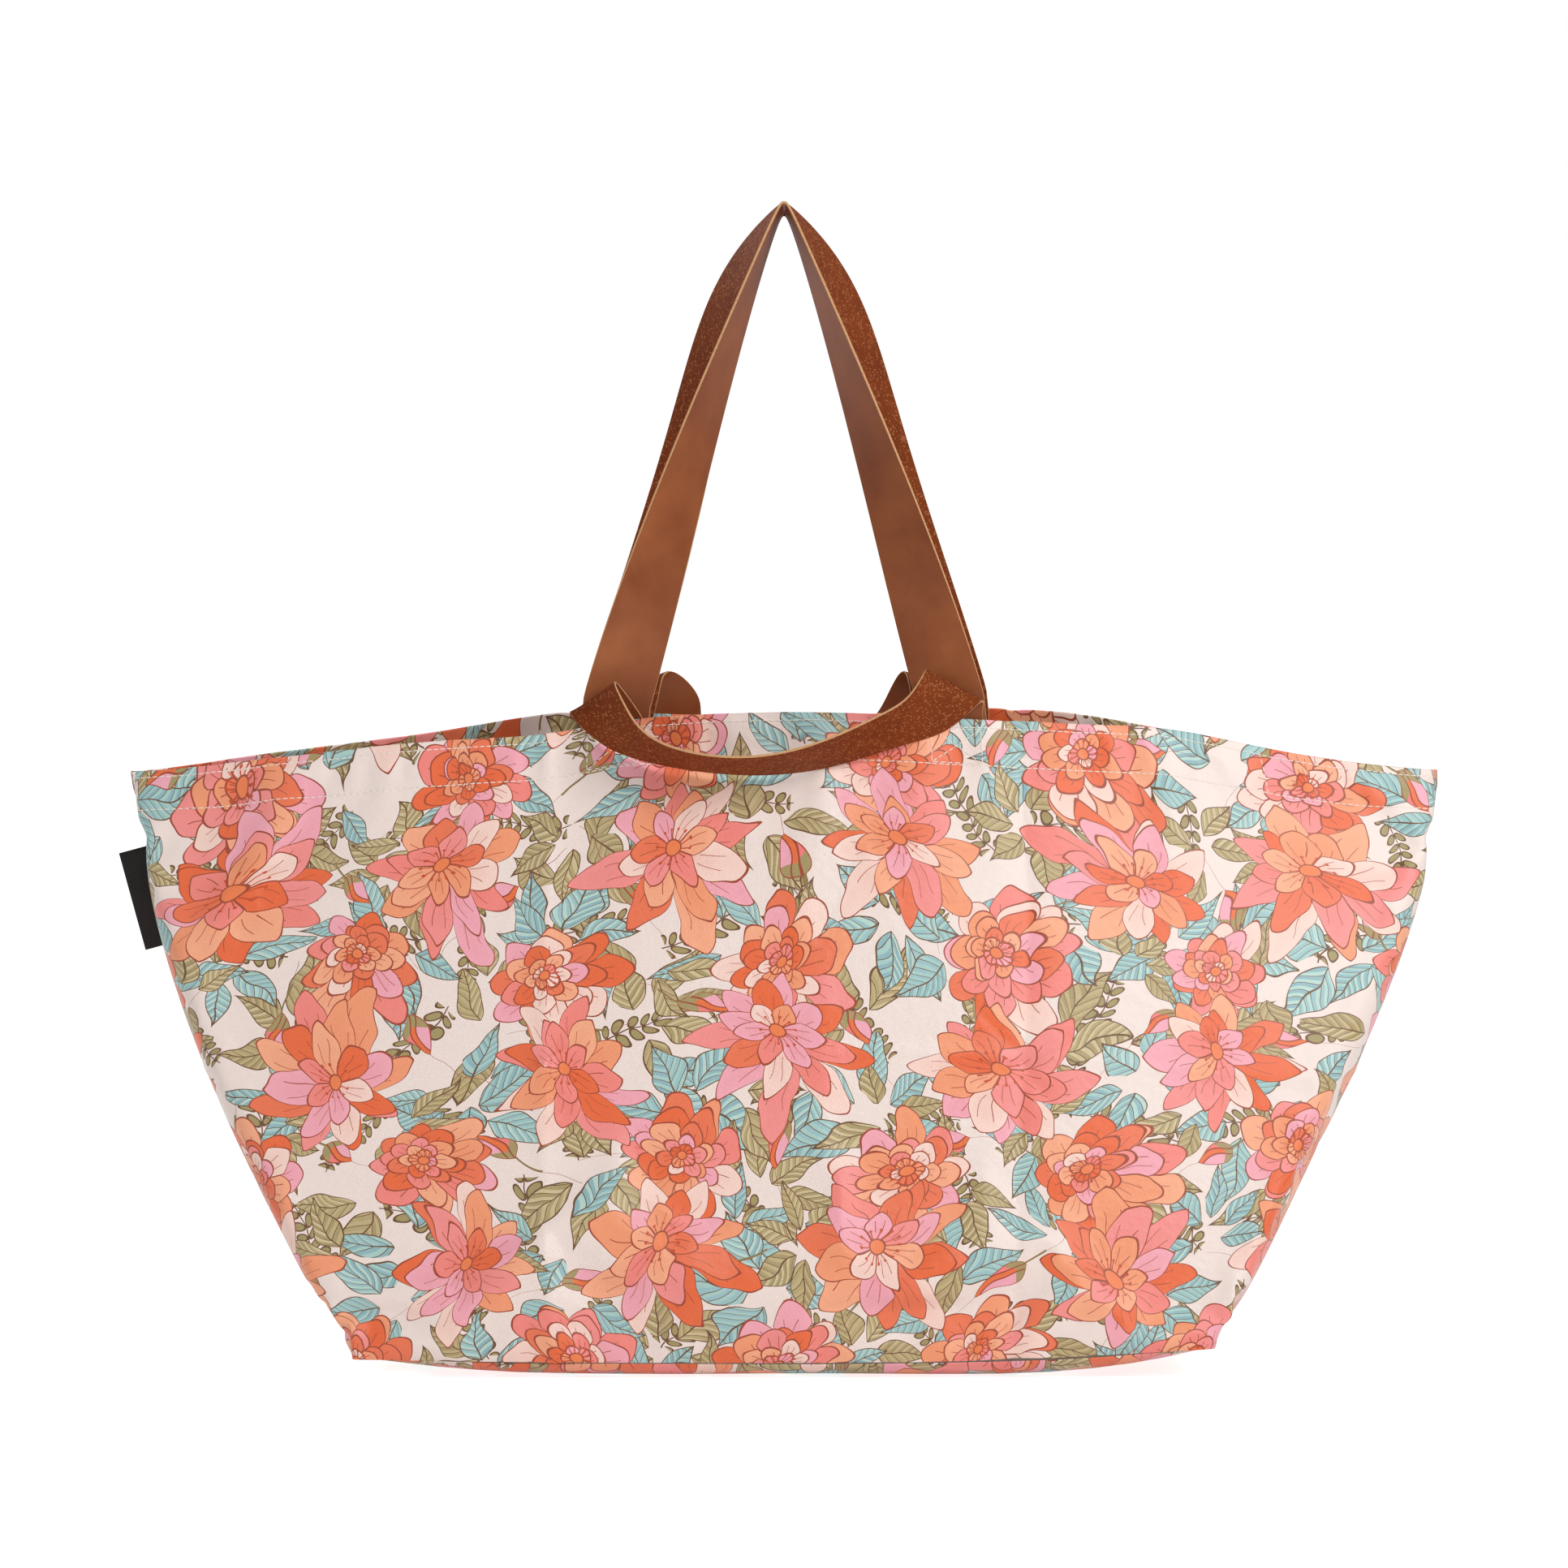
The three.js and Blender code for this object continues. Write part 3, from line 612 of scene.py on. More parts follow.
def box_stitching(face, side):
    u = SIDES[side] * STRAP_X / MM
    low, high = FABRIC_V - 24, FABRIC_V - 5
    a, b, c, d = (u - 14, high), (u + 14, high), (u + 14, low), (u - 14, low)
    rows = [(a, b), (b, c), (c, d), (d, a), (a, c), (b, d)]
    piece = fabric_stitches(f"{face}_{side}_box_stitching", face, rows)
    stand_for(piece, f"{face}_wall", f"{face}_{side}_box_stitch")
    inside = fabric_stitches(f"{face}_{side}_box_stitching_inside", face, rows, -(LONG_DEPTH / MM + 0.85))
    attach(inside, f"{face}_wall")


# ---- Straps ----

# The strap's section, once round: across as a share of half the width, and out as a share of half the
# thickness. The grained face is towards positive out.
SECTION = [(-1, -0.55), (-0.985, -1), (0.985, -1), (1, -0.55)]
SECTION += [(across, -out) for across, out in SECTION[::-1]]
SMOOTH, GRAIN, EDGE = 0, 1, 2
SECTION_LOOKS = [EDGE, SMOOTH, EDGE, EDGE, EDGE, GRAIN, EDGE, EDGE]


# A span of a strap along centres, where each half points from the centre to its upper edge.
def strap(name, centres, halves, first, last, caps):
    c, h = centres[first : last + 1], halves[first : last + 1]
    out = unit(np.cross(unit(np.gradient(c, axis=0)), h))
    rings = np.stack([c + h * a + out * (t * STRAP_THICK / 2) for a, t in SECTION], 1)
    around = len(SECTION)
    slots = np.repeat(SECTION_LOOKS, len(c) - 1).tolist() + [EDGE] * len(caps.split())
    across = np.array([a for a, _ in SECTION]) * STRAP_WIDE / 2 / MM
    step = run_lengths(centres)[first : last + 1] / MM
    uv = np.stack([np.repeat(step, around), np.tile(across, len(c))], -1)
    looks = [STRAP_SMOOTH, STRAP_GRAIN, STRAP_EDGE]
    piece = add_object(name, rings.reshape(-1, 3), tube(len(c), around, caps), looks, slots, uv)
    sharpen(piece)
    return piece


# Edges between two looks are sharp, so each face of the strap shades flat across.
def sharpen(piece):
    mesh = piece.data
    looks = {}
    for polygon in mesh.polygons:
        for key in polygon.edge_keys:
            looks.setdefault(key, set()).add(polygon.material_index)
    sharp = mesh.attributes.new("sharp_edge", "BOOLEAN", "EDGE")
    flags = [len(looks.get(tuple(sorted(e.vertices)), ())) > 1 for e in mesh.edges]
    sharp.data.foreach_set("value", flags)


# Smooth values through knots, at even spacing along the path they make.
def spline(knots, count):
    k = np.asarray(knots, float)
    t = np.concatenate([[0], np.cumsum(np.linalg.norm(np.diff(k[:, :3], axis=0), axis=1) ** 0.7)])
    h = np.diff(t)
    n = len(t)
    system, right = np.eye(n), np.zeros_like(k)
    for i in range(1, n - 1):
        system[i, i - 1 : i + 2] = [h[i - 1], 2 * (h[i - 1] + h[i]), h[i]]
        right[i] = 6 * ((k[i + 1] - k[i]) / h[i] - (k[i] - k[i - 1]) / h[i - 1])
    bend = np.linalg.solve(system, right)
    at = np.linspace(0, t[-1], count)
    i = np.clip(np.searchsorted(t, at, side="right") - 1, 0, n - 2)
    a, b = ((t[i + 1] - at) / h[i])[:, None], ((at - t[i]) / h[i])[:, None]
    curve = a * k[i] + b * k[i + 1]
    return curve + ((a**3 - a) * bend[i] + (b**3 - b) * bend[i + 1]) * (h[i] ** 2)[:, None] / 6


# A strap's sewn end, from its raw end up to the mouth's edge, against the inside of its wall: its centres,
# and the way across it to the right.
def sewn_end(face, side, depth, count=5, shift=0.0):
    v = np.linspace(FABRIC_V - SEWN / MM, FABRIC_V - 1, count)
    edges = []
    for aside in (-STRAP_WIDE / 2, STRAP_WIDE / 2):
        edges.append(on_wall(face, (SIDES[side] * STRAP_X + shift + aside) / MM, v, -depth))
    return (edges[0] + edges[1]) / 2, (edges[1] - edges[0]) / 2


# Each way across the strap, made square to its path and half the strap's width long.
def square_to(halves, centres):
    along = unit(np.gradient(centres, axis=0))
    return unit(halves - along * np.sum(halves * along, axis=1, keepdims=True)) * STRAP_WIDE / 2


LONG_LOOKS = {
    "front": {"shoulder": 0.0, "shift": 0.0, "turn": lambda t: 90 * t**0.78},
    "back": {"shoulder": 10 * MM, "shift": 3 * MM, "turn": lambda t: 62 * t**0.6 + 28 * t**9},
}
PEAK_ROUNDING = 0.03
HINGE_Z = drop_point(STRAP_X, 0)[2] + 6 * MM


def long_handle(face):
    sign, look = FACES[face], LONG_LOOKS[face]
    mouth = drop_point(STRAP_X, 0)
    start_z, start_y = mouth[2] + 11 * MM, mouth[1] - LONG_DEPTH
    p = np.linspace(-1, 1, 301)
    p = np.sign(p) * np.abs(p) ** 1.25

    def blunt(value):
        return np.hypot(value, PEAK_ROUNDING) - PEAK_ROUNDING

    t = 1 - blunt(p) / blunt(1)
    x = STRAP_X * p * (1 + 0.14 * (1 - np.abs(p)))
    x = x + look["shoulder"] * np.sign(p) * np.sin(np.pi * t**3.2)
    x = x + look["shift"] * (1 - t**2) * (p > 0)
    y = start_y + (21 * MM - start_y) * t
    z = start_z + (HANDLE_TOP - 8 * MM - start_z) * t
    free = np.stack([x, y * sign, z], -1)
    turn = np.radians(look["turn"](t))
    side = np.where(p < 0, -1, 1)
    across = np.stack([side * np.cos(turn), sign * np.sin(turn), 0.19 * t**6], -1)
    left, left_across = sewn_end(face, "left", LONG_DEPTH)
    right, right_across = sewn_end(face, "right", LONG_DEPTH, shift=look["shift"])
    centres = np.concatenate([left, free, right[::-1]])
    across = np.concatenate([-left_across, across, right_across[::-1]])
    halves = square_to(across, centres)
    place_long_handle(face, centres, halves * sign)  # so that the grained face is the inner one


def place_long_handle(face, centres, halves):
    top = HINGE_Z + 6 * MM
    free = np.nonzero(centres[:, 2] > top)[0]
    first, last = free[0], free[-1]
    spans = {
        "left_end": (0, first, "start"),
        "loop": (first, last, ""),
        "right_end": (last, len(centres) - 1, "end"),
    }
    for part, (a, b, caps) in spans.items():
        piece = strap(f"{face}_long_strap_{part}", centres, halves, a, b, caps)
        if part == "loop":
            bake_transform(piece)
            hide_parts(f"{face}_long_handle")
        else:
            side = part.split("_")[0]
            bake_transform(piece)
            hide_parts(f"{face}_long_handle_{side}_end", f"{face}_long_handle_{side}_root")


# How a short handle lies: its centre, x and z in mm, and the way to its upper edge, from crest to crest.
SHORT_LIES = {
    "front": [
        (-100, 366, 0.55, -0.70, 0.47),
        (-86, 353, 0.40, -0.85, 0.34),
        (-58, 343.5, 0.16, -0.94, 0.28),
        (-17, 340, 0.00, -0.95, 0.31),
        (24, 346.5, -0.18, -0.90, 0.40),
        (62, 360, -0.42, -0.78, 0.45),
        (84, 371.5, -0.62, -0.58, 0.53),
    ],
    "back": [
        (-67, 367, 0.88, -0.22, 0.42),
        (-55, 351, 0.42, -0.82, 0.38),
        (-32, 342.5, 0.12, -0.94, 0.30),
        (0, 340, 0.00, -0.95, 0.31),
        (34, 342.5, -0.12, -0.94, 0.30),
        (58, 351, -0.40, -0.83, 0.38),
        (75, 366, -0.76, -0.40, 0.46),
    ],
}
# The leg and the crest at each end, as the strap's two edges: x, depth inside the mouth's line, z, in mm.
SHORT_CRESTS = {
    "front": {
        "left": [((-78, 3.8, 361), (-115, 3.8, 361)), ((-84, 2.5, 372), (-118.5, 0, 368)),
                 ((-93.8, -5, 385), (-120, -4, 367.5))],
        "right": [((76, 3.8, 366), (112.5, 3.8, 361)), ((77, 3, 381), (112, 1.5, 370)),
                  ((79.7, -3, 392), (111.5, -4, 374.5))],
    },
    "back": {
        "left": [((-74, 3.8, 364), (-112, 3.8, 361)), ((-71, 2.5, 377), (-110, 0, 369)),
                 ((-67, -5, 387), (-105, -4, 371))],
        "right": [((74, 3.8, 364), (112, 3.8, 361)), ((72, 2.5, 377), (111, 0, 369)),
                  ((69, -5, 387), (107, -4, 371))],
    },
}
RESTING_GAP = 2.2 * MM


def short_handle(face):
    sign = FACES[face]
    knots = []
    for side in SIDES:
        sewn, across = sewn_end(face, side, SHORT_DEPTH, 3)
        inward = -SIDES[side] * across * [1, sign, 1]
        rows = [np.concatenate(row) for row in zip(sewn[:2] * [1, sign, 1], inward[:2])]
        for edges in SHORT_CRESTS[face][side]:
            x, depth, z = np.array(edges).T * MM
            upper, lower = np.stack([x, MOUTH_Y * (1 - (x / MOUTH_X) ** 2) - depth, z], 1)
            rows.append(np.concatenate([(upper + lower) / 2, (upper - lower) / 2]))
        knots.append(rows)
    lie = []
    for x, z, ox, oy, oz in SHORT_LIES[face]:
        out = unit(np.array([ox, -oy, oz])) * STRAP_WIDE / 2
        centre = np.array([x * MM, 0, z * MM])
        edge = centre - out
        wall = drop_point(edge[0], max(mouth_height(edge[0]) - edge[2], 0))
        centre[1] = wall[1] + RESTING_GAP + out[1]
        lie.append(np.concatenate([centre, out]))
    path = spline(np.array(knots[0] + lie + knots[1][::-1]), 260)
    centres, halves = path[:, :3] * [1, sign, 1], path[:, 3:] * [1, sign, 1]
    if face == "back":
        centres, halves = centres[::-1], halves[::-1]
    place_short_handle(face, centres, halves)


def place_short_handle(face, centres, halves):
    last, middle = len(centres) - 1, len(centres) // 2
    first_crest = max(range(middle), key=lambda k: centres[k, 2])
    second_crest = max(range(middle, last + 1), key=lambda k: centres[k, 2])
    spans = {
        "first_leg": (0, first_crest),
        "first_half": (first_crest, middle),
        "second_half": (middle, second_crest),
        "second_leg": (second_crest, last),
    }
    for part, (a, b) in spans.items():
        side = "left" if centres[(a + b) // 2, 0] < 0 else "right"
        kind = "leg" if "leg" in part else "loop"
        caps = {"first_leg": "start", "second_leg": "end"}.get(part, "")
        piece = strap(f"{face}_short_strap_{side}_{kind}", centres, halves, a, b, caps)
        if kind == "leg":
            stand_for(piece, f"{face}_wall", f"{face}_short_handle_{side}_end")
        else:
            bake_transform(piece)
            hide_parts(f"{face}_short_handle")


# ---- The side label: a plain folded tab ----

LABEL_SHARE = 0.78  # where its middle is, up the side seam
LABEL_HALF = 28.5  # mm along the seam
LABEL_REACH = 16.5  # mm out from it


def side_label():
    foot, head = on_wall("front", -FABRIC_U, (LABEL_SHARE + np.array([-0.085, 0.085])) * FABRIC_V, 0)
    foot[1] = head[1] = 0
    up = unit(unit(head - foot) + [-0.13, 0, 0])  # it leans out more than the seam
    out = np.array([-up[2], 0, up[0]])
    middle = (foot + head) / 2
    side = [(0.0, 0.25), (0.15, 0.4), (0.3, 0.5), (0.45, 0.5), (0.92, 0.5), (1.0, 0.22)]
    ring = side + [(share, -thick) for share, thick in side[::-1]]
    rows = np.linspace(-1, 1, 15)
    points = []
    for row in rows:
        curl = 1.3 * MM * (row * 0.5) ** 2
        for share, thick in ring:
            bow = np.array([0, curl * share * 2 + thick * 0.9 * MM, 0])
            away = out * ((share * LABEL_REACH - 0.5) * MM)
            points.append(middle + up * (row * LABEL_HALF * MM) + away + bow)
    uv = [(share * LABEL_REACH, row * LABEL_HALF) for row in rows for share, _ in ring]
    piece = add_object("side_label_tab", points, tube(len(rows), len(ring)), [LABEL], uvs=uv)
    root, free = middle + out * MM, middle + out * 7 * MM
    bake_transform(piece)
    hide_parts("side_label")


def build():
    bottom()
    for face in FACES:
        for side in SIDES:
            cloth_quarter(face, side)
            hem_facing(face, side)
            inner_tape(face, side)
            hem_stitching(face, side)
            box_stitching(face, side)
        long_handle(face)
        short_handle(face)
    for side in SIDES:
        side_tape(side)
    side_label()


# ---- Looks ----


def colour(code):
    levels = [int(code[k : k + 2], 16) / 255 for k in (1, 3, 5)]
    return tuple([v / 12.92 if v <= 0.04045 else ((v + 0.055) / 1.055) ** 2.4 for v in levels] + [1.0])


# A value in a material's nodes. Arithmetic on it adds Math nodes.
class Field:
    tree = None

    def __init__(self, socket):
        self.socket = socket

    def __abs__(self):
        return maths("ABSOLUTE", self)


for name, kind in {"add": "ADD", "sub": "SUBTRACT", "mul": "MULTIPLY", "truediv": "DIVIDE"}.items():
    setattr(Field, f"__{name}__", lambda a, b, kind=kind: maths(kind, a, b))
    setattr(Field, f"__r{name}__", lambda a, b, kind=kind: maths(kind, b, a))
for name, kind in {"lt": "LESS_THAN", "gt": "GREATER_THAN"}.items():
    setattr(Field, f"__{name}__", lambda a, b, kind=kind: maths(kind, a, b))


# A new node, with its inputs by name or number, and its settings.
def new_node(kind, inputs, **settings):
    node = Field.tree.nodes.new(kind)
    for key, value in settings.items():
        setattr(node, key, value)
    for key, value in inputs.items():
        plug(value, node.inputs[key])
    return node


# Gives a socket a value: a Field, a number, or a colour as its code.
def plug(value, socket):
    if isinstance(value, Field):
        Field.tree.links.new(value.socket, socket)
    else:
        socket.default_value = colour(value) if isinstance(value, str) else value


def maths(operation, *values, clamp=False):
    node = new_node("ShaderNodeMath", dict(enumerate(values)), operation=operation, use_clamp=clamp)
    return Field(node.outputs[0])


def clamped(value):
    return maths("ADD", value, 0.0, clamp=True)


def both(a, b):
    return maths("MINIMUM", a, b)


def either(a, b):
    return maths("MAXIMUM", a, b)


def vector(x, y):
    return Field(new_node("ShaderNodeCombineXYZ", {0: x, 1: y}).outputs[0])


def parts(value):
    return [Field(s) for s in new_node("ShaderNodeSeparateXYZ", {0: value}).outputs]


def mixed(share, a, b):
    return Field(new_node("ShaderNodeMix", {0: share, 6: a, 7: b}, data_type="RGBA").outputs[2])


def stepped(value, colours):
    node = new_node("ShaderNodeValToRGB", {0: value})
    node.color_ramp.interpolation = "CONSTANT"
    stops = node.color_ramp.elements
    while len(stops) < len(colours):
        stops.new(0.5)
    for k, code in enumerate(colours):
        stops[k].position = k / len(colours)
        stops[k].color = colour(code)
    return Field(node.outputs[0])


def noise(place, scale, detail=2.0, rough=0.5, output=0):
    inputs = {"Vector": place, "Scale": scale, "Detail": detail, "Roughness": rough}
    return Field(new_node("ShaderNodeTexNoise", inputs).outputs[output])


# Random numbers that depend on two values: one by itself, then three more.
def hashed(a, b):
    node = new_node("ShaderNodeTexWhiteNoise", {"Vector": vector(a, b)}, noise_dimensions="2D")
    return Field(node.outputs["Value"]), Field(node.outputs["Color"])


# Where a piece is on its fabric: x and y in mm, then both as one vector in metres.
def fabric_place():
    x, y, _ = parts(Field(new_node("ShaderNodeUVMap", {}, uv_map="fabric_mm").outputs[0]))
    return x, y, vector(x * MM, y * MM)


def new_material(name):
    material = bpy.data.materials.new(name)
    material.use_nodes = True
    Field.tree = material.node_tree
    return material, material.node_tree.nodes["Principled BSDF"]


# Gives a shader its colour, roughness and, by their own names, further inputs.
def dress(shader, base, rough, **further):
    for key, value in {"Base Color": base, "Roughness": rough, **further}.items():
        plug(value, shader.inputs[key.replace("_", " ")])


def bump(shader, height, distance):
    node = new_node("ShaderNodeBump", {"Strength": 1.0, "Distance": distance, "Height": height})
    plug(Field(node.outputs[0]), shader.inputs["Normal"])


# ---- The print: blooms, buds, leaves and sprigs of its own design, on cream ----

PETALS = ["#EC7650", "#F3887E", "#F7AC86", "#F3A9B6", "#F39C72", "#F7D5C8", "#F4918D", "#EA6A3A"]
OLIVES = ["#C2AE80", "#AB986A", "#CFBD92", "#B6A374"]
TEALS = ["#A9CCC6", "#8FB6BC", "#B8D6CD", "#9BC1C4"]
GROUND = "#EFDED6"
OUTLINE = "#A0452B"
LEAF_LINE = "#6E4B2C"
LINE = 0.42  # half an outline's width, in mm
TURN = 2 * math.pi


# The cell of a brick lattice that a place is in: the place from the cell's jittered middle, and two seeds.
def cell(x, y, size, shift_x, shift_y, jitter):
    rows = y / size + shift_y
    row = maths("FLOOR", rows)
    columns = x / size + (shift_x + 50.0) + maths("FLOORED_MODULO", row, 2.0) * 0.5
    column = maths("FLOOR", columns)
    seed, more = hashed(column + shift_x * 7.0, row + shift_y * 5.0)
    a, b, c = parts(more)
    local_x = (columns - column - 0.5) * size + (a - 0.5) * (2 * jitter)
    local_y = (rows - row - 0.5) * size + (b - 0.5) * (2 * jitter)
    return local_x, local_y, seed, c


def polar(x, y):
    r = maths("SQRT", x * x + y * y)
    return r, maths("ARCTAN2", y, x) / TURN


def turned(x, y, seed):
    angle = seed * TURN
    c, s = maths("COSINE", angle), maths("SINE", angle)
    return x * c + y * s, y * c - x * s


# The sector of a ring that a place is in: how far round from its middle, as a share of it, and a seed.
def sector(turn, seed, count, offset, salts):
    at = (turn + seed) * float(count) + offset
    whole = maths("FLOOR", at)
    pick, _ = hashed(maths("FLOORED_MODULO", whole, float(count)) + offset * salts[0], seed * salts[1])
    return at - whole - 0.5, pick


def ring_of_petals(under, r, turn, seed, count, radius, offset, notch, power):
    aside, pick = sector(turn, seed, count, offset, (31.0, 57.0))
    aside = abs(aside) * 2.0
    length = (maths("FRACT", pick * 7.3) * 0.24 + 0.86) * radius
    tip = length * (1.0 - maths("POWER", aside, power) * notch)
    depth = tip - r
    beside = (1.0 - aside) * r * (math.pi / count)
    inside = depth > -LINE
    line = both(abs(depth) * 0.75, beside) < LINE
    vein = either(abs(aside - 0.3) * r * (math.pi / count), abs(r / tip - 0.6) * 9.0 - 1.6) < 0.17
    shaded = mixed(clamped(depth / length) * 0.28, stepped(pick, PETALS), "#D9522E")
    flat = mixed(either(line, vein), shaded, OUTLINE)
    return mixed(inside, under, flat)


def bloom(under, x, y, seed, size, rings, power):
    r, turn = polar(x, y)
    inner_r, inner_turn = polar(x + 0.05 * size, y - 0.09 * size)
    for k, (count, radius, notch) in enumerate(rings):
        far, way = (r, turn) if k < 2 else (inner_r, inner_turn)
        offset = 0.5 * (k % 2) + 0.13 * k
        under = ring_of_petals(under, far, way, seed, count, radius * size, offset, notch, power)
    heart = 0.09 * size
    around = abs(maths("FRACT", inner_turn * 13.0) - 0.5) * inner_r * 0.48
    stamens = both(around < 0.3, inner_r < 0.19 * size)
    tips = either(abs(inner_r - 0.2 * size), around) < 0.7
    under = mixed(either(stamens, tips), under, "#C24A22")
    under = mixed(inner_r < heart, under, "#EE7F4A")
    return mixed(abs(inner_r - heart) < LINE, under, OUTLINE)


# A fan of leaves round a point. Each has a middle rib, side veins, and one half darker than the other. The
# share of them given by least is left out.
def leaf_fan(under, x, y, seed, count, length, width, offset, colours, least):
    r, turn = polar(x, y)
    aside, pick = sector(turn, seed, count, offset, (17.0, 91.0))
    angle = aside * (TURN / count)
    u, v = r * maths("COSINE", angle), r * maths("SINE", angle)
    long = (maths("FRACT", pick * 5.7) * 0.3 + 0.7) * length
    bent = v + maths("SINE", u / long * 3.0 + pick * 6.0) * 2.2
    t = clamped((u / long - 0.22) / 0.78)
    half = maths("POWER", clamped(maths("SINE", maths("POWER", t, 0.7) * math.pi)), 1.3) * width
    depth = half - abs(bent)
    inside = both(depth > 0.0, pick > least)
    veins = maths("FRACT", (u - abs(bent) * 1.1) / 5.2)
    tone = stepped(maths("FRACT", pick * 3.1 + (bent > 0.0) * 0.25 + (veins > 0.55) * 0.25), colours)
    line = either(depth < LINE * 1.5, either(abs(bent) < LINE * 0.8, veins < 0.085))
    return mixed(inside, under, mixed(line, tone, LEAF_LINE))


def sprig(under, x, y, seed, length, tint):
    a, b = turned(x, y, seed)
    b = b + maths("SINE", a / 11.0) * 2.5
    stem = both(abs(b) < 0.35, abs(a) < length)
    beside = abs(b) - 3.6
    along = (maths("FRACT", a / 6.5) - 0.5) * 6.5 - beside * 0.5
    leaf = maths("SQRT", maths("POWER", along / 2.3, 2.0) + maths("POWER", beside / 3.0, 2.0))
    near = abs(a) < length - 2
    under = mixed(both(leaf < 1.0, near), under, tint)
    rim = both(abs(leaf - 1.0) < 0.16, near)
    return mixed(either(stem, rim), under, LEAF_LINE)


def bud(under, x, y, seed):
    a, b = turned(x, y, seed)
    b = b + maths("SINE", a / 16.0) * 2.0
    stem = both(abs(b + 0.4) < 0.6, both(a < -8.0, a > -26.0))
    under = mixed(stem, under, "#8A7A4A")
    t = clamped((a + 12.0) / 25.0)
    half = maths("SINE", maths("POWER", t, 0.75) * math.pi) * 7.0
    depth = half - abs(b)
    fold = b + maths("SINE", a / 5.0 + 1.0) * 2.2
    tone = mixed(fold > 1.4, "#E8713C", "#F0A9B8")
    tone = mixed(fold < -2.0, tone, "#F27F7C")
    tone = mixed(a < -6.0 + abs(b) * 0.8, tone, "#A59462")
    line = both(both(depth, abs(fold - 1.4)), abs(fold + 2.0)) < LINE
    return mixed(depth > -0.1, under, mixed(line, tone, OUTLINE))


# The print's layers, lowest first. Each starts with its cell's size, shifts and jitter.
LEAVES = [
    (97.0, 0.15, 0.45, 5.0, 7, 54.0, 8.2, 0.0, OLIVES, 0.27),
    (89.0, 0.35, 0.65, 3.0, 7, 50.0, 7.6, 0.21, TEALS, 0.34),
    (104.0, 0.6, 0.1, 4.0, 6, 58.0, 9.6, 0.37, TEALS, 0.34),
    (83.0, 0.85, 0.7, 3.0, 7, 46.0, 7.2, 0.61, OLIVES, 0.42),
]
# A bloom goes on with its least size, how much it can gain, its rings of petals and their power.
BLOOMS = [
    (118.0, 0.5, 0.5, 8.0, 34.0, 6.0,
     [(9, 1.0, 0.3), (8, 0.78, 0.28), (7, 0.57, 0.28), (6, 0.39, 0.28), (4, 0.23, 0.28)], 1.7),
    (118.0, 0.0, 0.0, 5.0, 45.5, 7.0, [(8, 1.0, 0.56), (7, 0.78, 0.5), (6, 0.5, 0.44)], 1.35),
]


def print_colour(x, y, place):
    bend_x, bend_y, _ = parts(noise(place, 13.0, 0.0, output=1))
    curl_x, curl_y, _ = parts(noise(place, 62.0, 0.0, output=1))
    x = x + (bend_x - 0.5) * 34.0 + (curl_x - 0.5) * 7.0
    y = y + (bend_y - 0.5) * 34.0 + (curl_y - 0.5) * 7.0
    lx, ly, seed, _ = cell(x, y, 59.0, 0.3, 0.1, 3.0)
    look = sprig(GROUND, lx, ly, seed, 24.0, "#A59462")
    for size, shift_x, shift_y, jitter, *leaf in LEAVES:
        lx, ly, seed, _ = cell(x, y, size, shift_x, shift_y, jitter)
        look = leaf_fan(look, lx, ly, seed, *leaf)
    lx, ly, seed, _ = cell(x, y, 77.0, 0.45, 0.85, 7.0)
    look = bud(look, lx, ly, seed)
    for size, shift_x, shift_y, jitter, least, more, rings, power in BLOOMS:
        lx, ly, seed, wide = cell(x, y, size, shift_x, shift_y, jitter)
        look = bloom(look, lx, ly, seed, wide * more + least, rings, power)
    return look


def weave(x, y, pitch):
    return maths("SINE", x * (TURN / pitch)) * maths("SINE", y * (TURN / pitch))


def coated_cloth():
    material, shader = new_material("coated_print")
    x, y, place = fabric_place()
    dress(shader, print_colour(x, y, place), noise(place, 28.0, 3.0) * 0.14 + 0.27, Sheen_Weight=0.05)
    crumple = noise(place, 150.0, 3.0, 0.55)
    bump(shader, weave(x, y, 1.1) * 0.12 + crumple * 1.6, 0.35 * MM)
    return material


def plain_cloth(name, code, rough, pitch, height):
    material, shader = new_material(name)
    x, y, place = fabric_place()
    dress(shader, mixed(noise(place, 60.0, 3.0) * 0.2, code, "#D8C8BC"), rough)
    bump(shader, weave(x, y, pitch), height)
    return material


def strap_smooth():
    material, shader = new_material("strap_smooth_face")
    _, _, place = fabric_place()
    # The smooth face's lighter blotches are painted sheen on top of the leather's uneven tone: this noise
    # places them, and also varies the roughness.
    tone_and_sheen = noise(place, 22.0, 3.0, 0.55)
    fine = noise(place, 900.0, 2.0, 0.6)
    tone = mixed(clamped(tone_and_sheen * 1.7 - 0.35), "#7C3A18", "#A96236")
    dress(shader, mixed(fine * 0.3, tone, "#62290E"), tone_and_sheen * 0.12 + 0.42, Specular_IOR_Level=0.28)
    bump(shader, fine, 0.05 * MM)
    return material


def strap_grain():
    material, shader = new_material("strap_grained_face")
    _, _, place = fabric_place()
    pebble = new_node("ShaderNodeTexVoronoi", {"Vector": place, "Scale": 1150.0})
    picks, _, _ = parts(Field(pebble.outputs["Color"]))
    tone = mixed(noise(place, 45.0, 3.0), "#672A0C", "#8C4016")
    dress(shader, mixed((picks > 0.86) * 0.5, tone, "#C07A48"), 0.7, Specular_IOR_Level=0.15)
    bump(shader, Field(pebble.outputs["Distance"]) + noise(place, 500.0, 3.0) * 0.8, 0.3 * MM)
    return material


def raw_edge():
    material, shader = new_material("strap_cut_edge")
    _, _, place = fabric_place()
    dress(shader, mixed(noise(place, 700.0, 2.0), "#B57F52", "#D9AC7E"), 0.8)
    return material


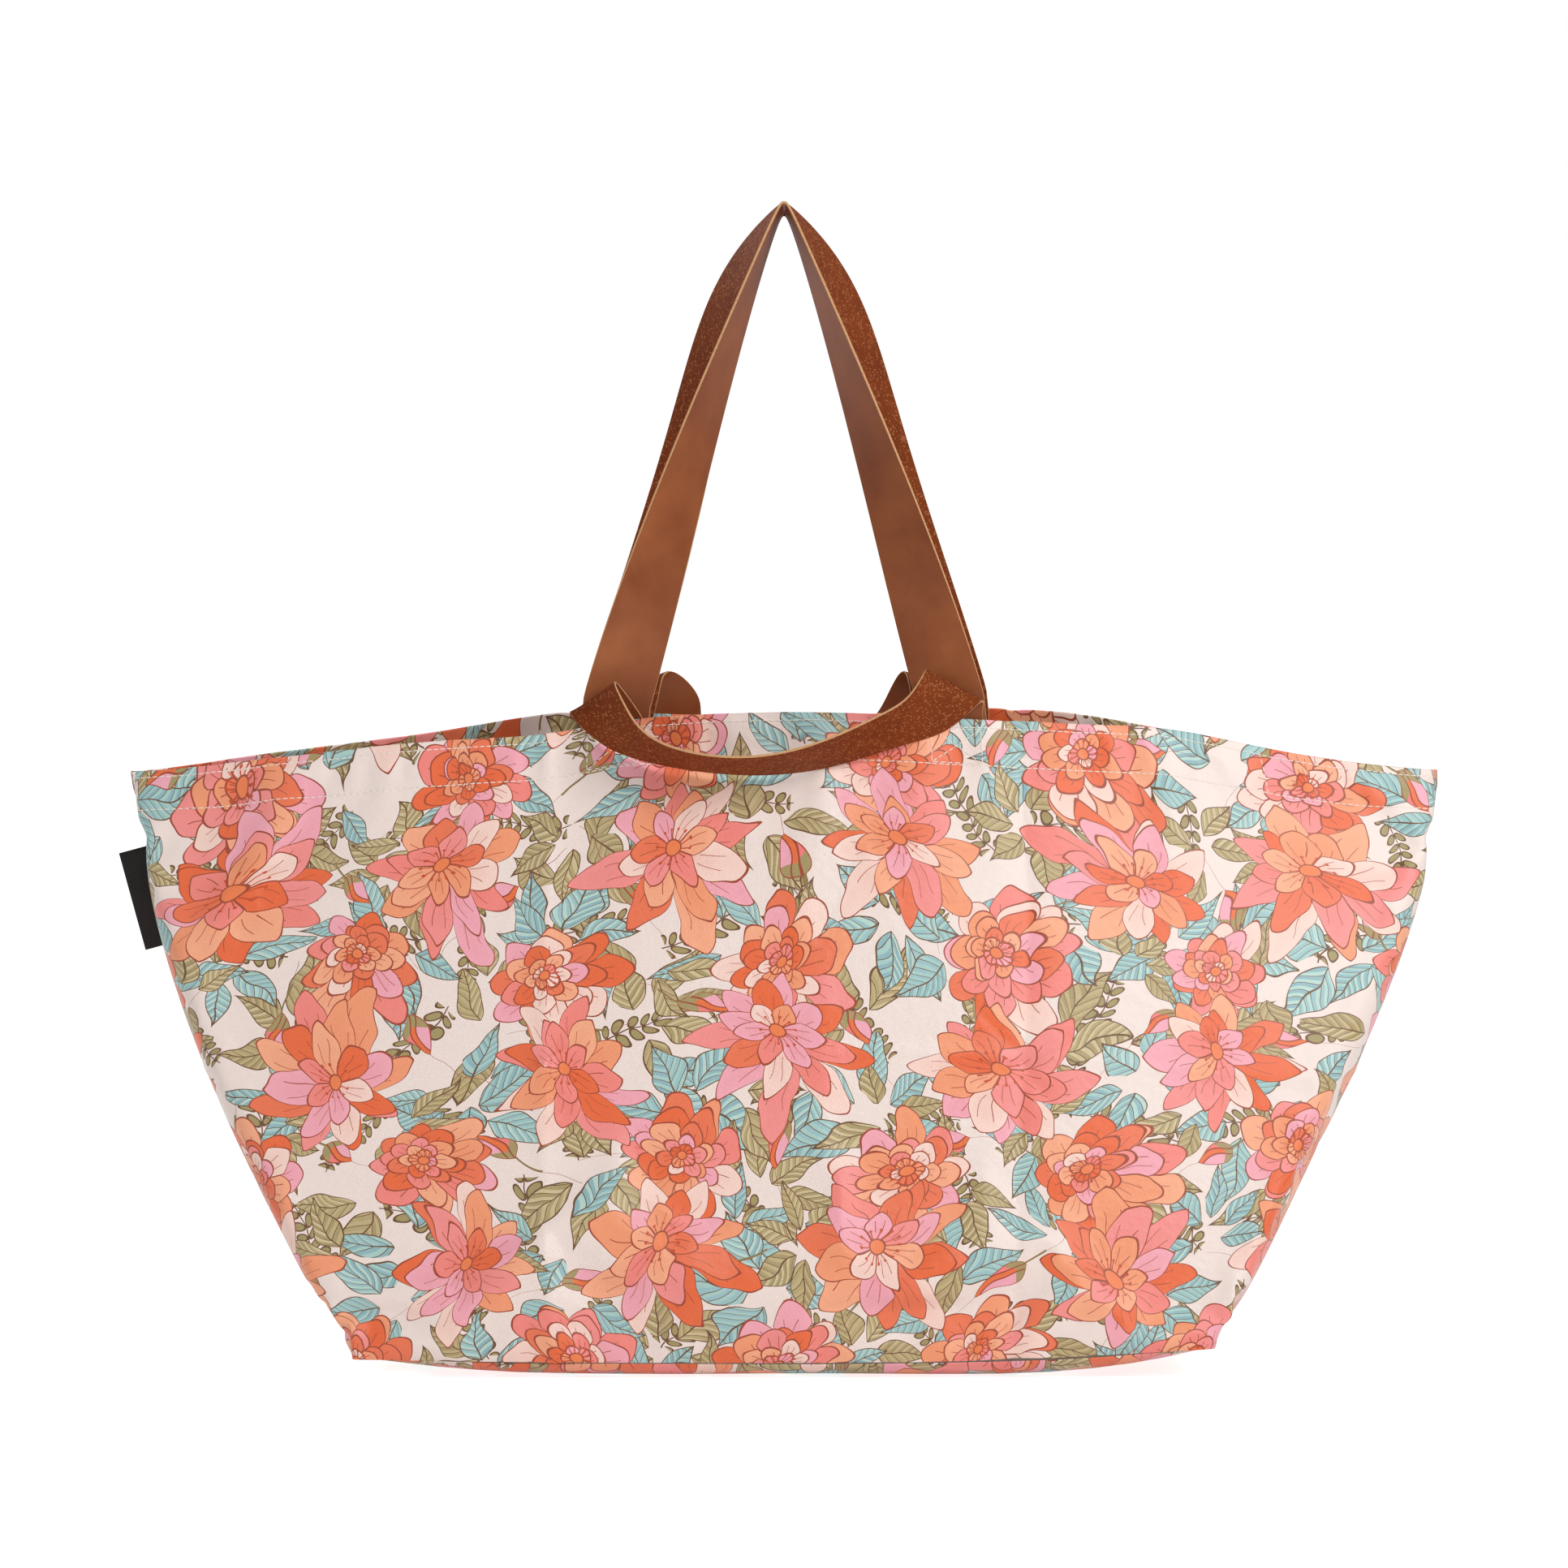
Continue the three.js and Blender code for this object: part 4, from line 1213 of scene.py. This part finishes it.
def thread_look():
    material, shader = new_material("thread")
    spot = Field(new_node("ShaderNodeNewGeometry", {}).outputs["Position"])
    dress(shader, mixed(noise(spot, 2400.0, 1.0), "#E6D6C8", "#FFFBF4"), 0.6)
    return material


def label_look():
    material, shader = new_material("label_weave")
    x, y, _ = fabric_place()
    rib = maths("SINE", (x + y) * (TURN / 0.9))
    dress(shader, mixed(rib * 0.25 + 0.25, "#14100F", "#2B2321"), 0.75)
    bump(shader, rib, 0.08 * MM)
    return material


PRINT = coated_cloth()
LINING = plain_cloth("cloth_inside", "#F1E8E2", 0.5, 1.1, 0.05 * MM)
TAPE = plain_cloth("seam_tape", "#E9DCD0", 0.85, 0.9, 0.15 * MM)
STRAP_SMOOTH = strap_smooth()
STRAP_GRAIN = strap_grain()
STRAP_EDGE = raw_edge()
THREAD_LOOK = thread_look()
LABEL = label_look()

build()


# ---- Stage ----


WHITE = (1.0, 1.0, 1.0, 1.0)
# The studio's soft lights: place, size across, size up, and power.
LIGHTS = {
    "key": ((1.3, -1.6, 1.5), 0.8, 0.8, 28),
    "fill": ((-1.7, -1.6, 0.9), 1.2, 1.2, 6),
    "top": ((0.1, 0.4, 2.0), 1.6, 1.2, 8),
    "back": ((-1.5, 1.9, 1.2), 1.4, 1.4, 16),
}
LIGHTS_AIM = Vector((0, 0, 0.25))
CAMERA_AIM = Vector((0, -0.03, 0.327))
CAMERA_DISTANCE = 6.0
CAMERA_UP = math.radians(2.7)
FRAME_WIDTH = 0.885
SENSOR = 36


# A brightness that differs between what the camera sees directly and what lights the object.
def brightness(seen, lighting):
    ray = Field(new_node("ShaderNodeLightPath", {}).outputs["Is Camera Ray"])
    return ray * (seen - lighting) + lighting


def floor():
    material, shader = new_material("floor")
    dress(shader, (0.8, 0.8, 0.8, 1), 0.9, Emission_Color=WHITE, Emission_Strength=brightness(0.8, 0.2))
    corners = [(-15, -15, 0), (15, -15, 0), (15, 15, 0), (-15, 15, 0)]
    add_object("floor", corners, [(0, 1, 2, 3)], [material])


def studio():
    world = bpy.data.worlds.new("studio")
    world.use_nodes = True
    Field.tree = world.node_tree
    background = world.node_tree.nodes["Background"]
    plug(WHITE, background.inputs["Color"])
    plug(brightness(1.0, 0.38), background.inputs["Strength"])
    SCENE.world = world
    for name, (place, across, up, power) in LIGHTS.items():
        light = bpy.data.lights.new(name, "AREA")
        light.shape = "RECTANGLE"
        light.size, light.size_y = across, up
        light.energy = power
        made = add_to_scene(name, light)
        made.location = place
        made.rotation_euler = (LIGHTS_AIM - Vector(place)).to_track_quat("-Z", "Y").to_euler()


def front_camera():
    camera = bpy.data.cameras.new("front_camera")
    camera.sensor_width = SENSOR
    camera.lens = SENSOR * CAMERA_DISTANCE / FRAME_WIDTH
    camera.clip_end = 50
    made = add_to_scene("front_camera", camera)
    made.location = CAMERA_AIM + Vector((0, -math.cos(CAMERA_UP), math.sin(CAMERA_UP))) * CAMERA_DISTANCE
    made.rotation_euler = (math.pi / 2 - CAMERA_UP, 0, 0)
    SCENE.camera = made
    SCENE.view_settings.view_transform = "Standard"


floor()
studio()
front_camera()
